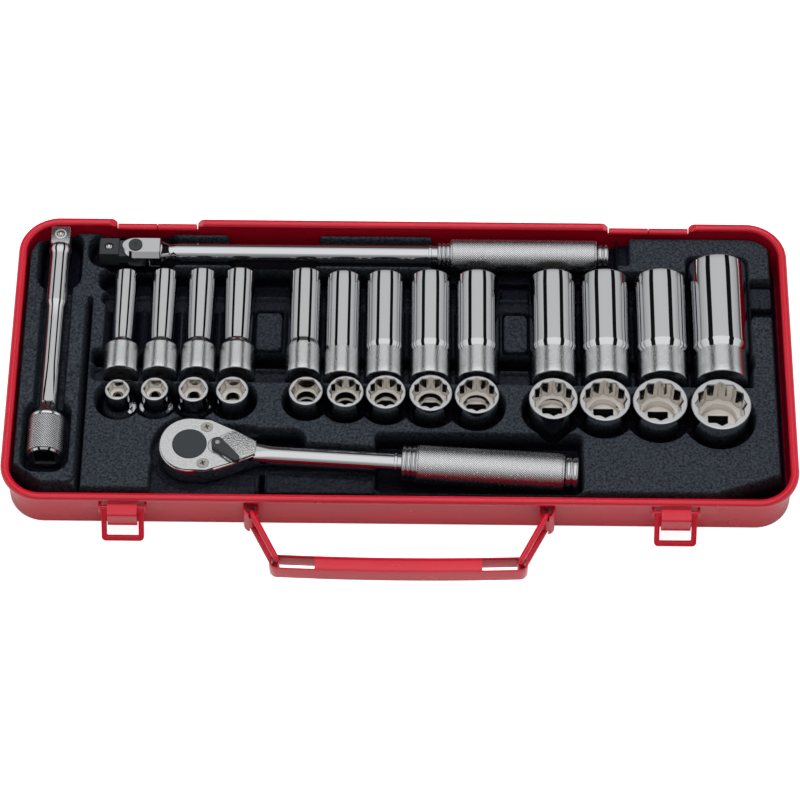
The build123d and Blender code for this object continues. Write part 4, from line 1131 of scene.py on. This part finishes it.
def make_hinge_handle():
    """The bar's axis runs along X from the pin; b is up and a is towards the front."""
    px, py, pz = -131.7, 65.6, 18.5

    def place(a, b, s):
        return np.stack([px + s, py - a, pz + b], axis=-1)

    profile = [(0.05, 12.1), (5.5, 12.3), (5.7, 12.7), (5.6, 13.1), (4.2, 16.2), (3.95, 17.0),
               (3.95, 17.6), (4.3, 18.8), (4.5, 20.5), (4.5, 24.0), (4.5, 60.0),
               (4.5, 100.0), (4.5, 144.5), (5.1, 144.8), (5.1, 145.9),
               (4.6, 146.2), (4.6, 149.5), (0.05, 149.5)]
    finished("hinge_handle_bar", [turned_skin(np.array(profile), place, around=128)], [chrome],
             "hinge_handle", crease=30.0)
    tilt = np.radians(np.concatenate([np.linspace(6, 90, 15), [90, 90]]))
    s = -6.4 * np.cos(tilt) + np.array([0.0] * 15 + [5.0, 11.9])
    width = 6.4 * np.sin(tilt)
    cut = np.minimum(2.4, 0.36 * width)
    jaws = []
    for side in (1, -1):
        low, high = np.full_like(s, 3.06 * side), np.full_like(s, 6.0 * side)
        a = np.stack([width, width, width - cut, cut - width, -width, -width], axis=-1)
        b = np.stack([low, high - side * cut, high, high, high - side * cut, low], axis=-1)
        jaws.append(skin_rings(place(a, b, np.repeat(s[:, None], 6, axis=1))))
    turn = np.linspace(0, 2 * np.pi, 97)[:-1]
    across, up = np.abs(np.cos(turn)), np.abs(np.sin(turn))
    block = np.minimum(6.38 / np.maximum(across, 1e-6), 5.98 / np.maximum(up, 1e-6))
    block = np.minimum(block, 9.98 / (across + up))
    radius = np.stack([block * scale for scale in (0.99, 1.0, 1.0, 0.94)])
    s = np.repeat(np.array([6.9, 7.0, 11.9, 12.25])[:, None], 96, axis=1)
    solid = skin_rings(place(radius * np.cos(turn), radius * np.sin(turn), s))
    finished("hinge_handle_fork", [*jaws, solid], [chrome], "hinge_handle",
             ["hinge_handle_shank"], crease=24.0)
    dome = np.array([(0.05, 5.0), (3.4, 5.0), (3.4, 6.5), (3.1, 6.75), (0.9, 6.8), (0.5, 6.3),
                     (0.05, 6.2)])

    def stand(a, b, s):
        return np.stack([px + a, py + b, pz + s], axis=-1)
    finished("hinge_handle_rivet_head", [turned_skin(dome, stand, around=64)], [phosphate],
             "hinge_handle")
    bevelled_copy("hinge_handle_drive_head", "hinge_handle_head", 0.35, phosphate,
                  "hinge_handle_head")
    bevelled_copy("hinge_handle_rivet", "hinge_handle_pin", 0.25, phosphate, "hinge_handle")
    centre = middle("hinge_handle_ball")
    finished("hinge_handle_sprung_ball", [ball_skin(centre, 2.0)], [chrome],
             "hinge_handle_ball", ["hinge_handle_ball"])
    make_sleeve("hinge_handle_sleeve", "hinge_handle_grip", "hinge_handle", place, 149.3, 233.3,
                7.9, 6.4, 5.9)


make_hinge_handle()


# ---------------------------------------------------------------- ratchet
# A forged pear head with a screwed cover plate, the toothed gear's black face in it, a
# teardrop reversing lever in the cover's V, and a bar with a knurled sleeve.
def cast_satin():
    """The sunk V behind the cover keeps a sparkling cast skin under the plating."""
    material, nodes, links, shader = new_finish("cast_satin", (0.86, 0.86, 0.87), 1.0, 0.26)
    place = object_coordinates(nodes)
    lumps = mottled(nodes, links, place, Scale=1500.0)
    tone = two_tone(nodes, links, lumps, (0.66, 0.66, 0.67), (1.0, 1.0, 1.0))
    links.new(tone, shader.inputs["Base Color"])
    raise_bump(nodes, links, shader, lumps, 0.0003, 0.7)
    return material


cast = cast_satin()


def zinc_plate():
    """Zinc-plated steel: dull, slightly brown, with a fine uneven sheen."""
    material, nodes, links, shader = new_finish("zinc_plating", (0.56, 0.54, 0.50), 1.0, 0.34)
    place = object_coordinates(nodes)
    cloud = mottled(nodes, links, place, Scale=1200.0, Low=0.28, High=0.5)
    links.new(cloud, shader.inputs["Roughness"])
    return material


zinc = zinc_plate()


def make_ratchet():
    """The head comes from the CAD's own slabs; the neck is lofted from slab to round bar."""
    turn = radians(-3.3)
    base = 12.4

    def place(a, b, s):
        return np.stack([head_x + s * np.cos(turn) + a * np.sin(turn),
                         head_y + s * np.sin(turn) - a * np.cos(turn), base + 5.0 + b], axis=-1)

    bevelled_copy("ratchet_head_forging", "ratchet_body", 0.5, chrome, "ratchet")
    bevelled_copy("ratchet_cover_plate", "ratchet_cover", 0.3, satin, "ratchet")
    bevelled_copy("ratchet_gear_face", "ratchet_gear", 0.25, phosphate, "ratchet_gear")
    bevelled_copy("ratchet_reversing_lever", "ratchet_lever", 0.45, phosphate, "ratchet_lever")
    bevelled_copy("ratchet_screws", "ratchet_cover_screws", 0.12, zinc, "ratchet")
    arc = np.radians(np.linspace(52, 308, 65))
    flank = np.concatenate([np.column_stack([14.9 * np.cos(arc), 14.9 * np.sin(arc)]),
                            [(13.0, -13.2), (21.0, -9.6), (26.5, -6.6), (31.0, -4.4)],
                            [(31.0, 4.4), (26.5, 6.6), (21.0, 9.6), (13.0, 13.2)]])

    def stack(u, v, w):
        return place(-v, w - 4.6, u)
    finished("ratchet_flank", [plate_skin(flank, 10.3, stack, 1.4)], [chrome], "ratchet",
             crease=40.0)
    s = np.concatenate([np.linspace(20.5, 46, 30), [60, 80, 97.5, 97.8, 98.9, 99.2, 101.7]])
    t = np.clip((s - 20.5) / 20.0, 0, 1)
    blend = t * t * (3 - 2 * t)
    half_a = np.interp(s, [20.5, 24, 28, 32, 37, 46], [8.6, 6.9, 5.5, 4.85, 4.65, 4.6])
    half_a = half_a + np.where((s > 97.6) & (s < 99.0), 0.6, 0.0)
    half_b = 5.05 + (4.6 - 5.05) * blend + np.where((s > 97.6) & (s < 99.0), 0.6, 0.0)
    power = 2.0 / (5.0 - 3.0 * blend)
    around = np.linspace(0, 2 * np.pi, 97)[:-1]
    c, q = np.cos(around)[None, :], np.sin(around)[None, :]
    a = half_a[:, None] * np.sign(c) * np.abs(c) ** power[:, None]
    b = half_b[:, None] * np.sign(q) * np.abs(q) ** power[:, None]
    neck = skin_rings(place(a, b, np.repeat(s[:, None], 96, axis=1)))
    finished("ratchet_bar", [neck], [chrome], "ratchet", crease=40.0)
    tail = np.array([(20.5, 8.75), (31.0, 3.6), (31.6, 3.0), (31.6, -3.0), (31.0, -3.6),
                     (20.5, -8.75), (17.2, -6.7), (15.2, -4.0), (15.2, 4.0), (17.2, 6.7)])

    def lay(u, v, w):
        return place(-v, w + 6.2, u)
    finished("ratchet_cast_tail", [plate_skin(tail[::-1], 0.45, lay, 0.2)], [cast], "ratchet")
    rivet = np.array([(0.05, 0.0), (1.15, 0.0), (1.15, 0.2), (0.95, 0.45), (0.05, 0.5)])

    def pin(a, b, s):
        spot = place(np.zeros(1), np.zeros(1), np.full(1, 13.5))[0]
        return np.stack([spot[0] + a, spot[1] + b, base + 14.25 + s], axis=-1)
    finished("ratchet_lever_pin", [turned_skin(rivet, pin, around=32)], [zinc], "ratchet_lever")
    make_sleeve("ratchet_sleeve", "ratchet_grip", "ratchet", place, 101.5, 185.0, 9.2, 8.7, 6.5)
    centre = middle("ratchet_drive_ball")
    finished("ratchet_sprung_ball", [ball_skin(centre, 2.0)], [chrome], "ratchet_drive_ball",
             ["ratchet_drive_ball"])


make_ratchet()

# The springs, the pawl and the detent inside the tools keep their plain machined shapes.
for node in ("extension_ball_spring", "hinge_handle_ball_spring", "ratchet_drive_ball_spring",
             "ratchet_detent_spring", "ratchet_pawl", "ratchet_detent"):
    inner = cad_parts[node].data.materials
    inner.clear()
    inner.append(phosphate if node == "ratchet_pawl" else zinc)


# ---------------------------------------------------------------- floor, light and camera
# A white sheet under the case, a large soft light overhead in three long strips with
# narrow gaps between them, and the camera on a long lens.
def make_floor():
    """One flat square far wider than the case, a little below its bottom."""
    size = 6000.0
    points = np.array([[-size, -size, -0.05], [size, -size, -0.05], [size, size, -0.05],
                       [-size, size, -0.05]])
    mesh = bpy.data.meshes.new("floor")
    mesh.from_pydata((points * 0.001).tolist(), [], [(0, 1, 2, 3)])
    floor = bpy.data.objects.new("floor", mesh)
    bpy.context.scene.collection.objects.link(floor)
    material, nodes, links, shader = new_finish("white_sheet", (0.93, 0.93, 0.93), 0.0, 0.9)
    shader.inputs["Specular IOR Level"].default_value = 0.1
    seen = nodes.new("ShaderNodeLightPath")
    shader.inputs["Emission Color"].default_value = (1, 1, 1, 1)
    glow = nodes.new("ShaderNodeMath")
    glow.operation = "MULTIPLY"
    glow.inputs[1].default_value = 0.8
    links.new(seen.outputs["Is Camera Ray"], glow.inputs[0])
    links.new(glow.outputs["Value"], shader.inputs["Emission Strength"])
    mesh.materials.append(material)


def make_light():
    """Strips by the angle from overhead, measured across the case: bright, gap, bright."""
    world = bpy.data.worlds.new("studio")
    bpy.context.scene.world = world
    world.use_nodes = True
    nodes, links = world.node_tree.nodes, world.node_tree.links
    nodes.clear()
    out = nodes.new("ShaderNodeOutputWorld")
    sky = nodes.new("ShaderNodeBackground")
    plain = nodes.new("ShaderNodeBackground")
    plain.inputs["Color"].default_value = (0.93, 0.93, 0.93, 1)
    mix = nodes.new("ShaderNodeMixShader")
    path = nodes.new("ShaderNodeLightPath")
    links.new(path.outputs["Is Camera Ray"], mix.inputs["Fac"])
    links.new(sky.outputs["Background"], mix.inputs[1])
    links.new(plain.outputs["Background"], mix.inputs[2])
    links.new(mix.outputs["Shader"], out.inputs["Surface"])
    direction = nodes.new("ShaderNodeTexCoord").outputs["Generated"]
    split = nodes.new("ShaderNodeSeparateXYZ")
    links.new(direction, split.inputs["Vector"])

    def math(operation, *values):
        node = nodes.new("ShaderNodeMath")
        node.operation = operation
        for socket, value in zip(node.inputs, values):
            if isinstance(value, (int, float)):
                socket.default_value = value
            else:
                links.new(value, socket)
        return node.outputs["Value"]

    def stepped(stops, value):
        """A grey that runs straight from stop to stop, each a (position, grey)."""
        ramp = nodes.new("ShaderNodeValToRGB")
        while len(ramp.color_ramp.elements) < len(stops):
            ramp.color_ramp.elements.new(0.5)
        for element, (position, grey) in zip(ramp.color_ramp.elements, stops):
            element.position = position
            element.color = (grey, grey, grey, 1)
        links.new(value, ramp.inputs["Fac"])
        return ramp.outputs["Color"]

    across = math("ABSOLUTE", math("ARCTAN2", split.outputs["X"], split.outputs["Z"]))
    strips = stepped([(0.0, 0.86), (0.168, 0.84), (0.174, 0.01), (0.270, 0.01), (0.278, 0.80),
                      (0.42, 0.62), (0.46, 0.2), (0.5, 0.08), (1.0, 0.06)],
                     math("DIVIDE", across, np.pi))
    depth = stepped([(0.0, 0.2), (0.12, 0.5), (0.2, 1.0), (0.68, 1.0), (0.74, 0.72),
                     (0.82, 0.70), (0.87, 0.08), (1.0, 0.06)],
                    math("MULTIPLY_ADD", split.outputs["Y"], 0.5, 0.5))
    strength = math("MULTIPLY", math("MULTIPLY", strips, depth), 1.4)
    links.new(strength, sky.inputs["Strength"])
    key = bpy.data.lights.new("overhead", "AREA")
    key.shape = "RECTANGLE"
    key.size, key.size_y = 0.5, 1.4
    key.energy = 19.0
    lamp = bpy.data.objects.new("overhead", key)
    lamp.location = (0.0, 0.35, 1.6)
    lamp.rotation_euler = (radians(-12), 0, 0)
    lamp.visible_camera = False
    lamp.visible_glossy = False
    bpy.context.scene.collection.objects.link(lamp)


def make_camera():
    """A long lens in front of the case and above it, turned down to its middle."""
    lens = bpy.data.cameras.new("camera")
    lens.lens, lens.sensor_width = 152.05, 36.0
    lens.clip_start, lens.clip_end = 0.05, 50.0
    camera = bpy.data.objects.new("camera", lens)
    camera.location = (0.00885, -0.8938, 1.3883)
    camera.rotation_euler = (radians(32.54), -0.0006, 0.0114)
    bpy.context.scene.collection.objects.link(camera)
    bpy.context.scene.camera = camera


make_floor()
make_light()
make_camera()
bpy.context.scene.view_settings.view_transform = "Standard"
